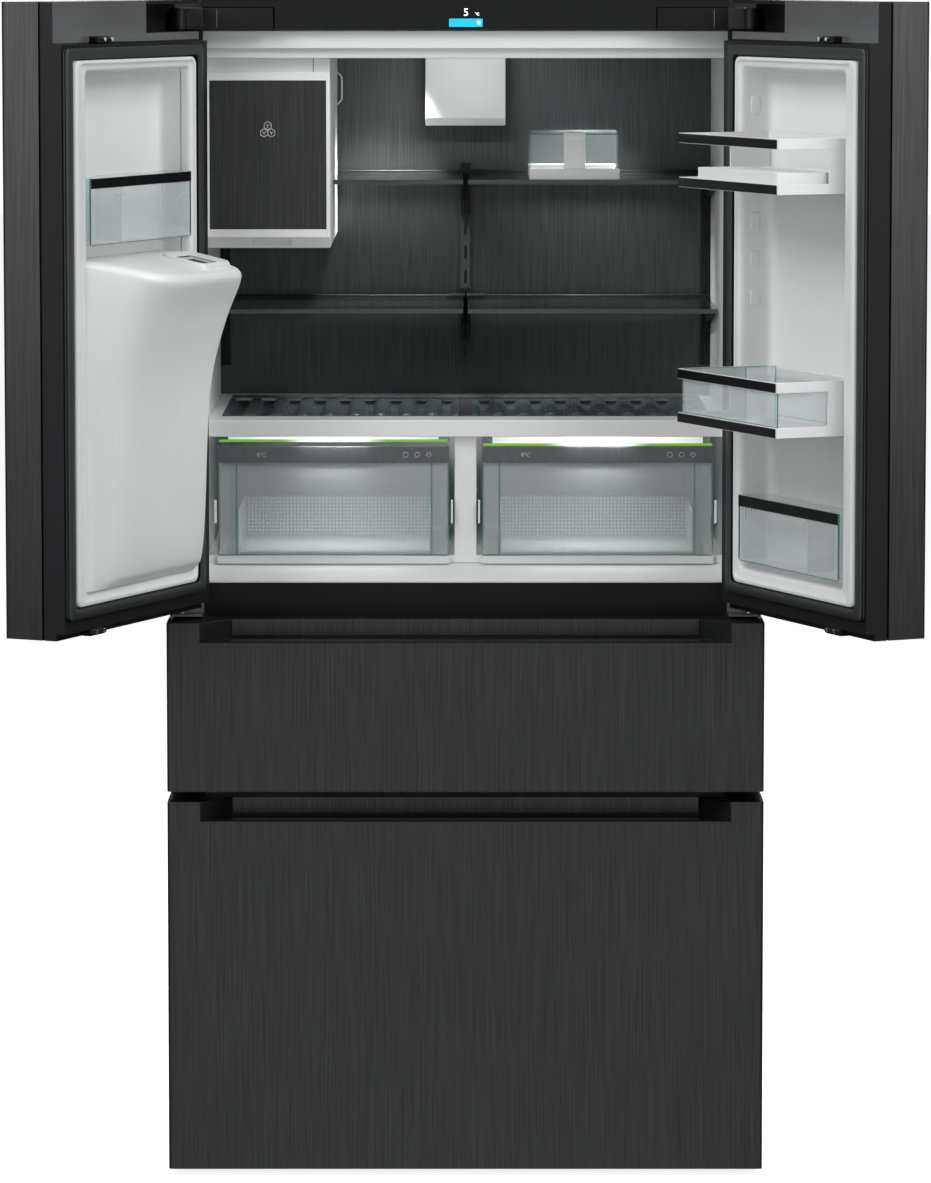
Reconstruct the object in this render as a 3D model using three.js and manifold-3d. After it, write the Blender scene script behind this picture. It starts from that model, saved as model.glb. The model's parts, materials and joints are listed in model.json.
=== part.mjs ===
// French door refrigerator with two fresh-food doors over two freezer drawers.
// Millimetres. X runs to the right, Y from the closed fronts to the back, Z up from the floor.
// Both doors stand open at rest; every drawer is shut.
import * as THREE from 'three';
import { mergeVertices } from 'three/addons/utils/BufferGeometryUtils.js';
import Module from 'manifold-3d';

const wasm = await Module();
wasm.setup();

// A [from, to] range widened at both ends.
const grown = ([from, to], by) => [from - by, to + by];
// A range part of the way from one range to another.
const between = ([from, to], [lastFrom, lastTo], share) =>
  [from + share * (lastFrom - from), to + share * (lastTo - to)];

// ---------------------------------------------------------------- driving sizes
const WIDTH = 910;
const HEIGHT = 1800;
const DEPTH = 740;
const HALF = WIDTH / 2;
const FIT = 0.4; // gap between pieces that touch
const DOOR_ANGLE = 115; // degrees that each door is open at rest

// Door and drawer fronts, measured back from their outer face.
const SKIN_DEPTH = 62; // folded steel skin
const SKIN_SHEET = 1.2;
const SKIN_RADIUS = 5;
const GROOVE_DEPTH = SKIN_DEPTH + 4; // shadow groove between skin and inner frame
const GROOVE_INSET = 4;
const FRAME_DEPTH = 100;
const GASKET_FACE = FRAME_DEPTH + 9;
const CASE_FRONT = GASKET_FACE + 1;
const HEADER_DEPTH = FRAME_DEPTH - 14; // thinner strip at a door's top, in front of the control panel

// Heights of the fronts, from the floor up.
const LOWER_FRONT = [12, 580.5];
const FRONT_GAP = 16;
const UPPER_FRONT = [LOWER_FRONT[1] + FRONT_GAP, 855];
const DOOR_BOTTOM = UPPER_FRONT[1] + FRONT_GAP;

// Steel case.
const SHEET = 2;
const CASE_BOTTOM = 42;
const REAR_SHEET = 1.6;
const CASE_BACK = DEPTH - REAR_SHEET - FIT;

// Fresh-food liner.
const LINER_WALL = 3;
const SIDE_INSULATION = 57;
const LINER_HALF = HALF - SIDE_INSULATION;
const LINER_FLOOR = DOOR_BOTTOM + 59;
const LINER_CEILING = HEIGHT - 90;
const LINER_BACK = DEPTH - 118;
const SILL_TOP = LINER_FLOOR - 23; // the floor slopes down to this height at the front
const SILL_DEPTH = CASE_FRONT + 40;
const FASCIA = [HEIGHT - 75, HEIGHT - 48]; // white band under the control panel
const FASCIA_STEP = 8;

// Freezer liner.
const FREEZER_FLOOR = 67;
const FREEZER_TOP = UPPER_FRONT[1] - 8;
const MACHINE_TOP = 298; // machine space at the rear, under the liner's step
const MACHINE_FRONT = DEPTH - 192;
const DIVIDER = [LOWER_FRONT[1] - 5, UPPER_FRONT[0] + 5];

// Door hinges.
const PIVOT_U = 20; // from the door's hinge-side edge
const PIVOT = new THREE.Vector2(HALF - PIVOT_U, SKIN_DEPTH);
const PIN_RADIUS = 6;
const PIN_CLEARANCE = 0.08;
const PIN_SIDES = 24;
const BOSS_RADIUS = 13;
const DOOR_GAP = 3; // half the gap between the shut doors
const DOOR_WIDTH = HALF - DOOR_GAP;
const HINGE_RECESS = { width: 168, depth: 45, z: [HEIGHT - 48, HEIGHT - 6] };
const HINGE_ARM = { x: [HALF - 162, HALF - 24], front: HEADER_DEPTH - 2, z: [HEIGHT - 45, HEIGHT - 13] };
const HINGE_PLATE = {
  x: [HALF - 52, HALF - 7],
  z: [UPPER_FRONT[1] + 4, UPPER_FRONT[1] + 8],
  flangeTop: DOOR_BOTTOM + 25,
};

// Door inner side: u across from the hinge-side edge, t back from the outer face.
const FRAME_Z = [DOOR_BOTTOM + 10, HEIGHT - 62];
const GASKET = { u: [28, DOOR_WIDTH - 3], z: [FRAME_Z[0] + 20, FRAME_Z[1] - 5], width: 16 };
const RIM = { u: [58, DOOR_WIDTH - 21], z: grown(GASKET.z, -18), t: CASE_FRONT + 2, radius: 18 };
const POCKET = {
  u: [RIM.u[0] + 15, RIM.u[1] - 45],
  z: [RIM.z[0] + 22, RIM.z[1] - 17],
  t: 57,
  radius: 9,
};
const LEDGE = { share: 0.34, depth: 3.4, radius: 15 }; // moulded step between rim and pocket
const RACK = {
  u: grown(POCKET.u, -FIT),
  back: POCKET.t + 3,
  depth: 155,
  height: 81,
  band: 15,
  wall: 4,
  floor: 3,
  plate: 68, // side plate that joins the two bands at the back
};
const DIVIDER_PLATE = { u: RACK.u[0] + 199, t: [RACK.back + 95, RACK.back + 145], above: 15 };
const BIN_DEPTH = 51;
const UPPER_RACK_Z = HEIGHT - 279;
const LOWER_RACK_Z = POCKET.z[0] + 226;
const LEFT_BIN_Z = [HEIGHT - 355, HEIGHT - 257];
const RIGHT_BIN = { z: [POCKET.z[0] + 12, POCKET.z[0] + 112], band: 17 };
const EGG_TRAY = {
  u: [RACK.u[0] + 52, RACK.u[1] - 10],
  t: [RACK.back + 18, RACK.back + RACK.depth - 5],
  height: 28,
  wall: 3,
};

// Dispenser in the left door.
const ICE_BOTTOM = HEIGHT - 382;
const HOUSING_TOP = ICE_BOTTOM + 8; // where the dispenser housing leaves the door
const HOUSING_SLOPE = 0.4;
const HOUSING_NOSE = RIM.t + 84;
const CHUTE = {
  u: POCKET.u[0] + 72,
  t: RIM.t + 40,
  half: 45.5,
  radius: 15,
  wall: 11,
  boreRadius: 7,
  rise: 7, // of the lip over the housing's top
  bottom: HOUSING_TOP - 54,
};
const DISPENSER_U = DOOR_WIDTH / 2 - 1; // middle of the dispenser
const RECESS = {
  u: [DISPENSER_U - 97, DISPENSER_U + 97],
  z: [POCKET.z[0] + 78, HOUSING_TOP - 74],
  t: FRAME_DEPTH - 3,
  wall: 3,
  bezel: 7,
};
const SPOUT = { u: [DISPENSER_U - 40, DISPENSER_U + 40], front: 24, z: RECESS.z[1] - 60 };
const PADDLE = {
  u: [DISPENSER_U - 22, DISPENSER_U + 22],
  t: 72,
  z: SPOUT.z - 8,
  bottom: (RECESS.z[0] + SPOUT.z) / 2,
  radius: 2.5,
  rise: 3,
};

// Inside the fresh-food space.
const INNER_HALF = LINER_HALF - FIT;
const COVER = {
  front: CASE_FRONT + 31,
  back: LINER_BACK - 22,
  z: [LINER_FLOOR + 197, LINER_FLOOR + 223],
};
const UPPER_SHELF = HEIGHT - 283;
const SHELF = {
  front: CASE_FRONT + 165,
  glass: 5,
  trim: 8,
  bracketDrop: 38,
  upper: UPPER_SHELF,
  lower: COVER.z[1] + 0.445 * (UPPER_SHELF - COVER.z[1]),
};
const BACK_PANEL = { front: LINER_BACK - 4, z: [COVER.z[1] + 2, LINER_CEILING - FIT] };
const RAIL = {
  width: 15,
  front: BACK_PANEL.front - 6,
  bottom: COVER.z[1] + 49,
  top: SHELF.upper + 8,
  pitch: 40,
  slot: 22,
};
const ICE = {
  x: [-INNER_HALF, -INNER_HALF + 190],
  front: CASE_FRONT + 27,
  z: [ICE_BOTTOM, LINER_CEILING - FIT],
};
const ICE_FRONT = {
  x: [ICE.x[0] + 5.6, ICE.x[1] - 6.4],
  z: [ICE.z[0] + 30, ICE.z[1] - 34.6],
  face: ICE.front - 4,
};
const ICE_CHIN = {
  height: 17, // the housing's foot slants back below this height
  slant: 16,
  grip: { x: [ICE.x[0] + 70, ICE.x[0] + 129], z: [ICE.z[0] + 5, ICE.z[0] + 14], depth: 14 },
};
const BOTTLES = {
  y: [COVER.front + 72, LINER_BACK - 62],
  half: INNER_HALF - 19.6,
  floor: COVER.z[0] + 10,
  waves: 9,
  steps: 8, // facets to a wave
  divider: 10,
};
const POST_HALF = 17;
const CHILL = {
  x: [POST_HALF + 8.5, LINER_HALF - 16],
  y: [COVER.front + 4, LINER_BACK - 62],
  z: [LINER_FLOOR + 13, COVER.z[0] - 15],
  bar: 25,
  wall: 2.5,
};
const DUCT = { half: 64, front: LINER_BACK - 122, bottom: LINER_CEILING - 115.5 };
const BUTTER = { x: [100, 241], y: [SHELF.front + 15, SHELF.front + 205], rim: 17, height: 71 };

// Freezer drawers.
const GRIP = { half: HALF - 50, backHalf: HALF - 97, height: 30, depth: 56 };
const TUB_HALF = LINER_HALF - 26;
const TUB_WALL = 3;
const SLIDE = {
  lip: [INNER_HALF - 11.6, INNER_HALF - 3.6],
  plate: INNER_HALF,
  height: 32,
  lipHeight: 6,
  start: 125,
};
const DRAWER_GASKET = { half: HALF - 23, width: 20, inset: 9 };

// Running gear.
const ROLLER = { x: HALF - 50, y: DEPTH - 40, radius: 20, width: 12, axle: 4 };
const COMPRESSOR = { x: -150, y: DEPTH - 95 };
const FOOT = { x: HALF - 65, y: CASE_FRONT + 25, radius: 22, height: 10, stem: 6 };

// ---------------------------------------------------------------- solid helpers
function toSolid(geometry) {
  geometry.deleteAttribute('normal');
  geometry.deleteAttribute('uv');
  const merged = mergeVertices(geometry, 1e-4);
  return new wasm.Manifold(new wasm.Mesh({
    numProp: 3,
    vertProperties: Float32Array.from(merged.attributes.position.array),
    triVerts: Uint32Array.from(merged.index.array),
  }));
}

// A box between [from, to] pairs, given in either order.
function slab(x, y, z) {
  const low = new THREE.Vector3(Math.min(...x), Math.min(...y), Math.min(...z));
  const high = new THREE.Vector3(Math.max(...x), Math.max(...y), Math.max(...z));
  const size = high.clone().sub(low);
  const geometry = new THREE.BoxGeometry(size.x, size.y, size.z);
  geometry.translate(low.x + size.x / 2, low.y + size.y / 2, low.z + size.z / 2);
  return toSolid(geometry);
}

function asShape(outline) {
  if (outline instanceof THREE.Shape) return outline;
  return new THREE.Shape(outline.map(([a, b]) => new THREE.Vector2(a, b)));
}

// An outline pushed along one axis: (x, y) along z, (y, z) along x, or (x, z) along y.
function prism(outline, axis, [from, to], curveSegments = 3) {
  const settings = { depth: to - from, bevelEnabled: false, curveSegments };
  const geometry = new THREE.ExtrudeGeometry(asShape(outline), settings);
  const X = new THREE.Vector3(1, 0, 0);
  const Y = new THREE.Vector3(0, 1, 0);
  const Z = new THREE.Vector3(0, 0, 1);
  const turn = new THREE.Matrix4();
  if (axis === 'x') turn.makeBasis(Y, Z, X).setPosition(from, 0, 0);
  if (axis === 'y') turn.makeBasis(X, Z, Y.clone().negate()).setPosition(0, to, 0);
  if (axis === 'z') turn.setPosition(0, 0, from);
  geometry.applyMatrix4(turn);
  return toSolid(geometry);
}

// A rectangle with all four corners rounded.
function softRectangle([left, right], [low, high], radius) {
  const shape = new THREE.Shape();
  const quarter = Math.PI / 2;
  shape.absarc(right - radius, low + radius, radius, -quarter, 0);
  shape.absarc(right - radius, high - radius, radius, 0, quarter);
  shape.absarc(left + radius, high - radius, radius, quarter, 2 * quarter);
  shape.absarc(left + radius, low + radius, radius, 2 * quarter, 3 * quarter);
  return shape;
}

function rod(x, y, [from, to], radius, sides = PIN_SIDES) {
  const geometry = new THREE.CylinderGeometry(radius, radius, to - from, sides);
  geometry.rotateX(Math.PI / 2);
  geometry.translate(x, y, (from + to) / 2);
  return toSolid(geometry);
}

function axle([from, to], y, z, radius, sides = PIN_SIDES) {
  const geometry = new THREE.CylinderGeometry(radius, radius, to - from, sides);
  geometry.rotateZ(Math.PI / 2);
  geometry.translate((from + to) / 2, y, z);
  return toSolid(geometry);
}

const join = (first, ...rest) => rest.reduce((sum, solid) => sum.add(solid), first);
const cut = (body, ...tools) => tools.reduce((left, tool) => left.subtract(tool), body);

// A smooth outline through a few points.
function flowing(points, steps) {
  const curve = new THREE.SplineCurve(points.map(([a, b]) => new THREE.Vector2(a, b)));
  return curve.getPoints(steps).map(({ x, y }) => [x, y]);
}

// A band that runs round a rectangle.
function hoop(x, y, z, wall) {
  return cut(slab(x, y, z), slab(grown(x, -wall), grown(y, -wall), grown(z, 1)));
}

// An open-topped tray: a floor and four walls.
function tray(x, y, z, wall) {
  const hollow = slab(grown(x, -wall), grown(y, -wall), [z[0] + wall, z[1] + 1]);
  return cut(slab(x, y, z), hollow);
}

// ---------------------------------------------------------------- finishes
const finish = (color, roughness, metalness) => () =>
  new THREE.MeshStandardMaterial({ color, roughness, metalness });
const BRUSHED = finish(0x3a3b3b, 0.42, 0.9);
const CASE_PAINT = finish(0x4a4c4d, 0.5, 0.6);
const REAR_STEEL = finish(0x8b8e90, 0.5, 0.8);
const FRAME_DARK = finish(0x26262a, 0.55, 0);
const GASKET_GREY = finish(0x525456, 0.8, 0);
const LINER_WHITE = finish(0xd8dad9, 0.35, 0);
const TRIM_BLACK = finish(0x17181a, 0.4, 0.1);
const PANEL_GLOSS = finish(0x08090a, 0.12, 0);
const CLEAR = finish(0xb9d0ce, 0.08, 0);
const SHELF_CLEAR = finish(0xa6c3c0, 0.05, 0);
const BAR_METAL = finish(0x55585a, 0.35, 0.9);
const FOAM = finish(0xe6d9a8, 0.95, 0);
const RUBBER_BLACK = finish(0x141414, 0.85, 0);
const ZINC = finish(0x9a9da0, 0.4, 0.9);
const ENAMEL_BLACK = finish(0x101112, 0.35, 0.2);

function piece(group, name, solid, material) {
  const { vertProperties, triVerts } = solid.getMesh();
  const geometry = new THREE.BufferGeometry();
  geometry.setAttribute('position', new THREE.BufferAttribute(vertProperties, 3));
  geometry.setIndex(new THREE.BufferAttribute(triVerts, 1));
  geometry.computeVertexNormals();
  const mesh = new THREE.Mesh(geometry, material());
  mesh.name = name;
  group.add(mesh);
  return mesh;
}

const fridge = new THREE.Group();

// ---------------------------------------------------------------- liners and case
// Side sections of the two liners. Positive offsets move every wall outwards.
const fridgeSection = (offset, lip) => [
  [lip, SILL_TOP - offset],
  [SILL_DEPTH, LINER_FLOOR - offset],
  [LINER_BACK + offset, LINER_FLOOR - offset],
  [LINER_BACK + offset, LINER_CEILING + offset],
  [CASE_FRONT + FASCIA_STEP + 10 + offset, LINER_CEILING + offset],
  [CASE_FRONT + FASCIA_STEP + 10 + offset, FASCIA[1] - LINER_WALL + offset],
  [lip, FASCIA[1] - LINER_WALL + offset],
];

const freezerSection = (offset, lip) => [
  [lip, FREEZER_FLOOR - offset],
  [MACHINE_FRONT - 2 * LINER_WALL + offset, FREEZER_FLOOR - offset],
  [MACHINE_FRONT - 2 * LINER_WALL + offset, MACHINE_TOP + 2 * LINER_WALL - offset],
  [LINER_BACK + offset, MACHINE_TOP + 2 * LINER_WALL - offset],
  [LINER_BACK + offset, FREEZER_TOP + offset],
  [lip, FREEZER_TOP + offset],
];

function addFridgeLiner() {
  const outside = LINER_HALF + LINER_WALL;
  const body = prism(fridgeSection(LINER_WALL, CASE_FRONT), 'x', [-outside, outside]);
  const space = prism([
    [CASE_FRONT - 1, SILL_TOP - 0.6],
    [SILL_DEPTH, LINER_FLOOR],
    [LINER_BACK, LINER_FLOOR],
    [LINER_BACK, LINER_CEILING],
    [CASE_FRONT + FASCIA_STEP, LINER_CEILING],
    [CASE_FRONT + FASCIA_STEP, FASCIA[0]],
    [CASE_FRONT - 1, FASCIA[0]],
  ], 'x', [-LINER_HALF, LINER_HALF]);
  const ledges = [-1, 1].map((side) => slab(
    [side * (CHILL.x[1] - 8), side * (LINER_HALF + 1)],
    [SILL_DEPTH + 2, COVER.back],
    [LINER_FLOOR - 1, CHILL.z[0] - FIT],
  ));
  piece(fridge, 'fridge_liner', join(cut(body, space), ...ledges), LINER_WHITE);
}

function addFreezerLiner() {
  const outside = LINER_HALF + LINER_WALL;
  const body = prism(freezerSection(LINER_WALL, CASE_FRONT), 'x', [-outside, outside]);
  const space = prism(freezerSection(0, CASE_FRONT - 1), 'x', [-LINER_HALF, LINER_HALF]);
  const divider = slab([-LINER_HALF - 1, LINER_HALF + 1], [CASE_FRONT, SILL_DEPTH], DIVIDER);
  piece(fridge, 'freezer_liner', join(cut(body, space), divider), LINER_WHITE);
}

function rollerAxle(side) {
  const { x, y, radius, width, axle: axleRadius } = ROLLER;
  const inner = width / 2 + 1;
  const ears = [-1, 1].map((end) => slab(
    [side * x + end * inner, side * x + end * (inner + 3)],
    [y - 14, y + 14],
    [radius - 8, CASE_BOTTOM + 1],
  ));
  return join(...ears, axle([side * x - inner - 2, side * x + inner + 2], y, radius, axleRadius));
}

function addCase() {
  const outer = slab([-HALF, HALF], [CASE_FRONT, CASE_BACK], [CASE_BOTTOM, HEIGHT]);
  const inside = slab(
    [-HALF + SHEET, HALF - SHEET],
    [CASE_FRONT + SHEET, CASE_BACK + 1],
    [CASE_BOTTOM + SHEET, HEIGHT - SHEET],
  );
  const mouthHalf = LINER_HALF + LINER_WALL + FIT;
  const mouth = slab(
    [-mouthHalf, mouthHalf],
    [CASE_FRONT - 1, CASE_FRONT + SHEET + 1],
    [FREEZER_FLOOR - LINER_WALL - FIT, FASCIA[1] + FIT],
  );
  const shell = cut(outer, inside, mouth);
  piece(fridge, 'cabinet_shell', join(shell, rollerAxle(-1), rollerAxle(1)), CASE_PAINT);
  addRearPanel();
}

function addRearPanel() {
  let panel = slab([-HALF, HALF], [DEPTH - REAR_SHEET, DEPTH], [CASE_BOTTOM, HEIGHT]);
  const louvres = 8;
  for (let i = 0; i < louvres; i += 1) {
    const z = 90 + i * 22;
    panel = cut(panel, slab([60, 380], [DEPTH - REAR_SHEET - 1, DEPTH + 1], [z, z + 8]));
  }
  piece(fridge, 'rear_panel', panel, REAR_STEEL);
}

function addInsulation() {
  const side = HALF - SHEET - FIT;
  const front = CASE_FRONT + SHEET + FIT;
  const block = slab(
    [-side, side],
    [front, CASE_BACK],
    [CASE_BOTTOM + SHEET + FIT, HEIGHT - SHEET - FIT],
  );
  const room = LINER_HALF + LINER_WALL + FIT;
  const crossbar = slab([-room, room], [front - 1, SILL_DEPTH + FIT], [FREEZER_TOP, SILL_TOP]);
  const machine = slab([-HALF, HALF], [MACHINE_FRONT, DEPTH], [CASE_BOTTOM, MACHINE_TOP]);
  piece(fridge, 'insulation', cut(
    block,
    prism(fridgeSection(LINER_WALL + FIT, CASE_FRONT), 'x', [-room, room]),
    prism(freezerSection(LINER_WALL + FIT, CASE_FRONT), 'x', [-room, room]),
    crossbar,
    machine,
  ), FOAM);
}

function addFrontRails() {
  const reach = LINER_HALF + LINER_WALL;
  const crossbar = prism([
    [CASE_FRONT, FREEZER_TOP + LINER_WALL + FIT],
    [SILL_DEPTH, FREEZER_TOP + LINER_WALL + FIT],
    [SILL_DEPTH, LINER_FLOOR - LINER_WALL - 4],
    [CASE_FRONT, SILL_TOP - LINER_WALL - FIT],
  ], 'x', [-reach, reach]);
  piece(fridge, 'crossbar', cut(crossbar, slab(
    [-HALF, HALF], [CASE_FRONT - 1, DEPTH], [SILL_TOP - LINER_WALL - FIT, LINER_FLOOR],
  )), TRIM_BLACK);

  const panelBottom = FASCIA[1] + 1;
  const panel = slab([-reach, reach], [CASE_FRONT - 10, CASE_FRONT - FIT], [panelBottom, HEIGHT]);
  const notches = [-1, 1].map((end) => slab(
    [end * (HINGE_ARM.x[0] - 2), end * (reach + 1)],
    [CASE_FRONT - 11, CASE_FRONT],
    [panelBottom - 1, HINGE_ARM.z[1] + 1],
  ));
  piece(fridge, 'control_panel', cut(panel, ...notches), PANEL_GLOSS);
}

function addRunningGear() {
  for (const [word, side] of [['left', -1], ['right', 1]]) {
    const { x, y, radius, width } = ROLLER;
    const span = [side * x - width / 2, side * x + width / 2];
    const wheel = axle(span, y, radius, radius, 32);
    const bore = axle(grown(span, 1), y, radius, ROLLER.axle + PIN_CLEARANCE);
    piece(fridge, `${word}_roller`, cut(wheel, bore), RUBBER_BLACK);

    const pad = rod(side * FOOT.x, FOOT.y, [0, FOOT.height], FOOT.radius);
    const stemSpan = [FOOT.height - 1, CASE_BOTTOM - FIT];
    const stem = rod(side * FOOT.x, FOOT.y, stemSpan, FOOT.stem, 12);
    piece(fridge, `${word}_front_foot`, join(pad, stem), RUBBER_BLACK);
  }
}

function addCompressor() {
  const dome = [
    [0, 0], [62, 0], [70, 22], [75, 60], [75, 110], [62, 150], [36, 172], [0, 180],
  ];
  const profile = dome.map(([r, z]) => new THREE.Vector2(r, z));
  const geometry = new THREE.LatheGeometry(profile, 20);
  geometry.rotateX(Math.PI / 2);
  geometry.translate(COMPRESSOR.x, COMPRESSOR.y, CASE_BOTTOM + SHEET + FIT);
  piece(fridge, 'compressor', toSolid(geometry), ENAMEL_BLACK);
}

// ---------------------------------------------------------------- hinges on the case
function addHinges(word, side) {
  const at = (x) => side * x;
  const base = slab(
    HINGE_ARM.x.map(at),
    [HINGE_ARM.front, CASE_FRONT - FIT],
    HINGE_ARM.z,
  );
  const armOutline = [
    [at(PIVOT.x + 11), PIVOT.y + 5],
    [at(PIVOT.x + 1), HINGE_ARM.front + 8],
    [at(HINGE_ARM.x[1]), CASE_FRONT - FIT],
    [at(HINGE_ARM.x[1] - 31), CASE_FRONT - FIT],
    [at(HINGE_ARM.x[1] - 31), HINGE_ARM.front],
    [at(PIVOT.x - 11), PIVOT.y + 5],
  ];
  const arm = prism(armOutline, 'z', HINGE_ARM.z);
  const boss = rod(at(PIVOT.x), PIVOT.y, HINGE_ARM.z, BOSS_RADIUS);
  const pin = rod(at(PIVOT.x), PIVOT.y, [HINGE_ARM.z[0] - 32, HINGE_ARM.z[0] + 1], PIN_RADIUS);
  piece(fridge, `${word}_top_hinge`, join(base, arm, boss, pin), TRIM_BLACK);

  const plate = slab(
    HINGE_PLATE.x.map(at),
    [PIVOT.y - BOSS_RADIUS, CASE_FRONT - FIT],
    HINGE_PLATE.z,
  );
  const flange = slab(
    HINGE_PLATE.x.map(at),
    [CASE_FRONT - 4, CASE_FRONT - FIT],
    [HINGE_PLATE.z[0], HINGE_PLATE.flangeTop],
  );
  const lowerPin = rod(at(PIVOT.x), PIVOT.y, [HINGE_PLATE.z[0] + 1, DOOR_BOTTOM + 15], PIN_RADIUS);
  piece(fridge, `${word}_lower_hinge`, join(plate, flange, lowerPin), ZINC);
}

// ---------------------------------------------------------------- inside the fresh-food space
// An upright with a row of slots for the shelves' hooks.
function shelfRail(x, top) {
  const depth = [RAIL.front, BACK_PANEL.front - FIT];
  const half = RAIL.width / 2;
  let rail = slab([x - half, x + half], depth, [RAIL.bottom, top]);
  for (let z = RAIL.bottom + 12; z + RAIL.slot < top - 4; z += RAIL.pitch) {
    rail = cut(rail, slab([x - 2, x + 2], grown(depth, 1), [z, z + RAIL.slot]));
  }
  return rail;
}

function addBackWall() {
  const backDepth = [BACK_PANEL.front, LINER_BACK - FIT];
  const panel = slab([-INNER_HALF, INNER_HALF], backDepth, BACK_PANEL.z);
  piece(fridge, 'back_panel', panel, BRUSHED);

  const side = INNER_HALF - RAIL.width / 2;
  const belowIce = ICE.z[0] - 2;
  piece(fridge, 'left_shelf_rail', shelfRail(-side, belowIce), ZINC);
  piece(fridge, 'centre_shelf_rail', shelfRail(0, RAIL.top), ZINC);
  piece(fridge, 'right_shelf_rail', shelfRail(side, RAIL.top), ZINC);

  const duct = prism([
    [DUCT.front + 12, DUCT.bottom],
    [BACK_PANEL.front - FIT, DUCT.bottom],
    [BACK_PANEL.front - FIT, LINER_CEILING - FIT],
    [DUCT.front, LINER_CEILING - FIT],
    [DUCT.front, DUCT.bottom + 12],
  ], 'x', [-DUCT.half, DUCT.half]);
  piece(fridge, 'duct_cover', duct, LINER_WHITE);
}

function shelf([left, right], top, bracketsAt) {
  const under = top - SHELF.glass;
  const trimDepth = [SHELF.front - SHELF.trim + 2, SHELF.front + 2];
  const glass = slab([left, right], [SHELF.front, RAIL.front - 7], [under, top]);
  const trim = slab([left, right], trimDepth, [under - 2, top + 0.6]);
  const bracketOutline = [
    [RAIL.front - FIT, under + 1],
    [RAIL.front - FIT, under - SHELF.bracketDrop],
    [RAIL.front - 12, under - SHELF.bracketDrop],
    [SHELF.front + 60, under - 8],
    [SHELF.front + 60, under + 1],
  ];
  const brackets = bracketsAt.map((x) => prism(bracketOutline, 'x', [x - 1.5, x + 1.5]));
  return join(glass, trim, ...brackets);
}

function addShelves() {
  const outer = LINER_HALF - 3;
  const middle = 3;
  const iceSide = ICE.x[1] + 1.5;
  const { upper, lower } = SHELF;
  const near = middle + 2;
  const far = outer - 5;
  piece(fridge, 'upper_left_shelf', shelf([iceSide, -middle], upper, [-near]), SHELF_CLEAR);
  piece(fridge, 'upper_right_shelf', shelf([middle, outer], upper, [near, far]), SHELF_CLEAR);
  piece(fridge, 'lower_left_shelf', shelf([-outer, -middle], lower, [-near, -far]), SHELF_CLEAR);
  piece(fridge, 'lower_right_shelf', shelf([middle, outer], lower, [near, far]), SHELF_CLEAR);
}

function addIceMaker() {
  const back = BACK_PANEL.front - FIT;
  const chinTop = ICE.z[0] + ICE_CHIN.height;
  const box = prism([
    [ICE.front, ICE.z[1]],
    [ICE.front, chinTop],
    [ICE.front + ICE_CHIN.slant, ICE.z[0]],
    [back, ICE.z[0]],
    [back, ICE.z[1]],
  ], 'x', ICE.x);
  const mouth = slab(
    grown(ICE_FRONT.x, FIT),
    [ICE.front - 1, back - 30],
    grown(ICE_FRONT.z, FIT),
  );
  const outletX = CHUTE.u - HALF;
  const outlet = slab(
    grown([outletX, outletX], CHUTE.half),
    [ICE.front + ICE_CHIN.slant + 8, CHUTE.t + CHUTE.half + 20],
    [ICE.z[0] - 1, chinTop - 1],
  );
  const { grip } = ICE_CHIN;
  const gripHollow = slab(grip.x, [ICE.front - 1, ICE.front + grip.depth], grip.z);
  piece(fridge, 'ice_maker_housing', cut(box, mouth, outlet, gripHollow), LINER_WHITE);

  const front = slab(ICE_FRONT.x, [ICE_FRONT.face, ICE_FRONT.face + 12], ICE_FRONT.z);
  const bin = tray(
    grown(ICE_FRONT.x, -4),
    [ICE_FRONT.face + 11, back - 58],
    [ICE_FRONT.z[0] + 1, ICE_FRONT.z[1] - 45],
    LINER_WALL,
  );
  piece(fridge, 'ice_bin', join(front, bin), BRUSHED);
}

function addChillZone() {
  const plate = slab([-INNER_HALF, INNER_HALF], [COVER.front, COVER.back], COVER.z);
  const wellSpan = grown([-BOTTLES.half, BOTTLES.half], 2);
  const well = slab(wellSpan, BOTTLES.y, [BOTTLES.floor, COVER.z[1] + 1]);
  const postDepth = [SILL_DEPTH + 2, COVER.back];
  const post = slab([-POST_HALF, POST_HALF], postDepth, [LINER_FLOOR + FIT, COVER.z[0] + 1]);
  const footHalf = CHILL.x[0] + 8;
  const foot = slab([-footHalf, footHalf], postDepth, [LINER_FLOOR + FIT, CHILL.z[0] - FIT]);
  piece(fridge, 'chill_cover', join(cut(plate, well), post, foot), LINER_WHITE);
  addBottleRack();
  for (const [word, side] of [['left', -1], ['right', 1]]) {
    const x = CHILL.x.map((value) => side * value).sort((a, b) => a - b);
    piece(fridge, `${word}_chill_bin`, tray(x, CHILL.y, CHILL.z, CHILL.wall), CLEAR);
    const bar = slab(x, [COVER.front, CHILL.y[0] - FIT], [CHILL.z[1] - CHILL.bar, CHILL.z[1]]);
    piece(fridge, `${word}_chill_front`, bar, BAR_METAL);
  }
}

// A wavy tray in two halves either side of a flat divider: bottles lie in the troughs.
function addBottleRack() {
  const { half } = BOTTLES;
  const floor = BOTTLES.floor + FIT;
  const trough = floor + 4;
  const crest = COVER.z[1] - 1;
  const steps = BOTTLES.waves * BOTTLES.steps;
  const right = [];
  for (let step = 0; step <= steps; step += 1) {
    const lift = (1 + Math.cos((2 * Math.PI * step) / BOTTLES.steps)) / 2;
    const x = BOTTLES.divider + (step / steps) * (half - BOTTLES.divider);
    right.push([x, trough + lift * (crest - trough)]);
  }
  const left = right.map(([x, z]) => [-x, z]).reverse();
  const outline = [[-half, floor], ...left, ...right, [half, floor]];
  const rack = prism(outline, 'y', grown(BOTTLES.y, -3));
  piece(fridge, 'bottle_rack', rack, LINER_WHITE);
}

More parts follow.
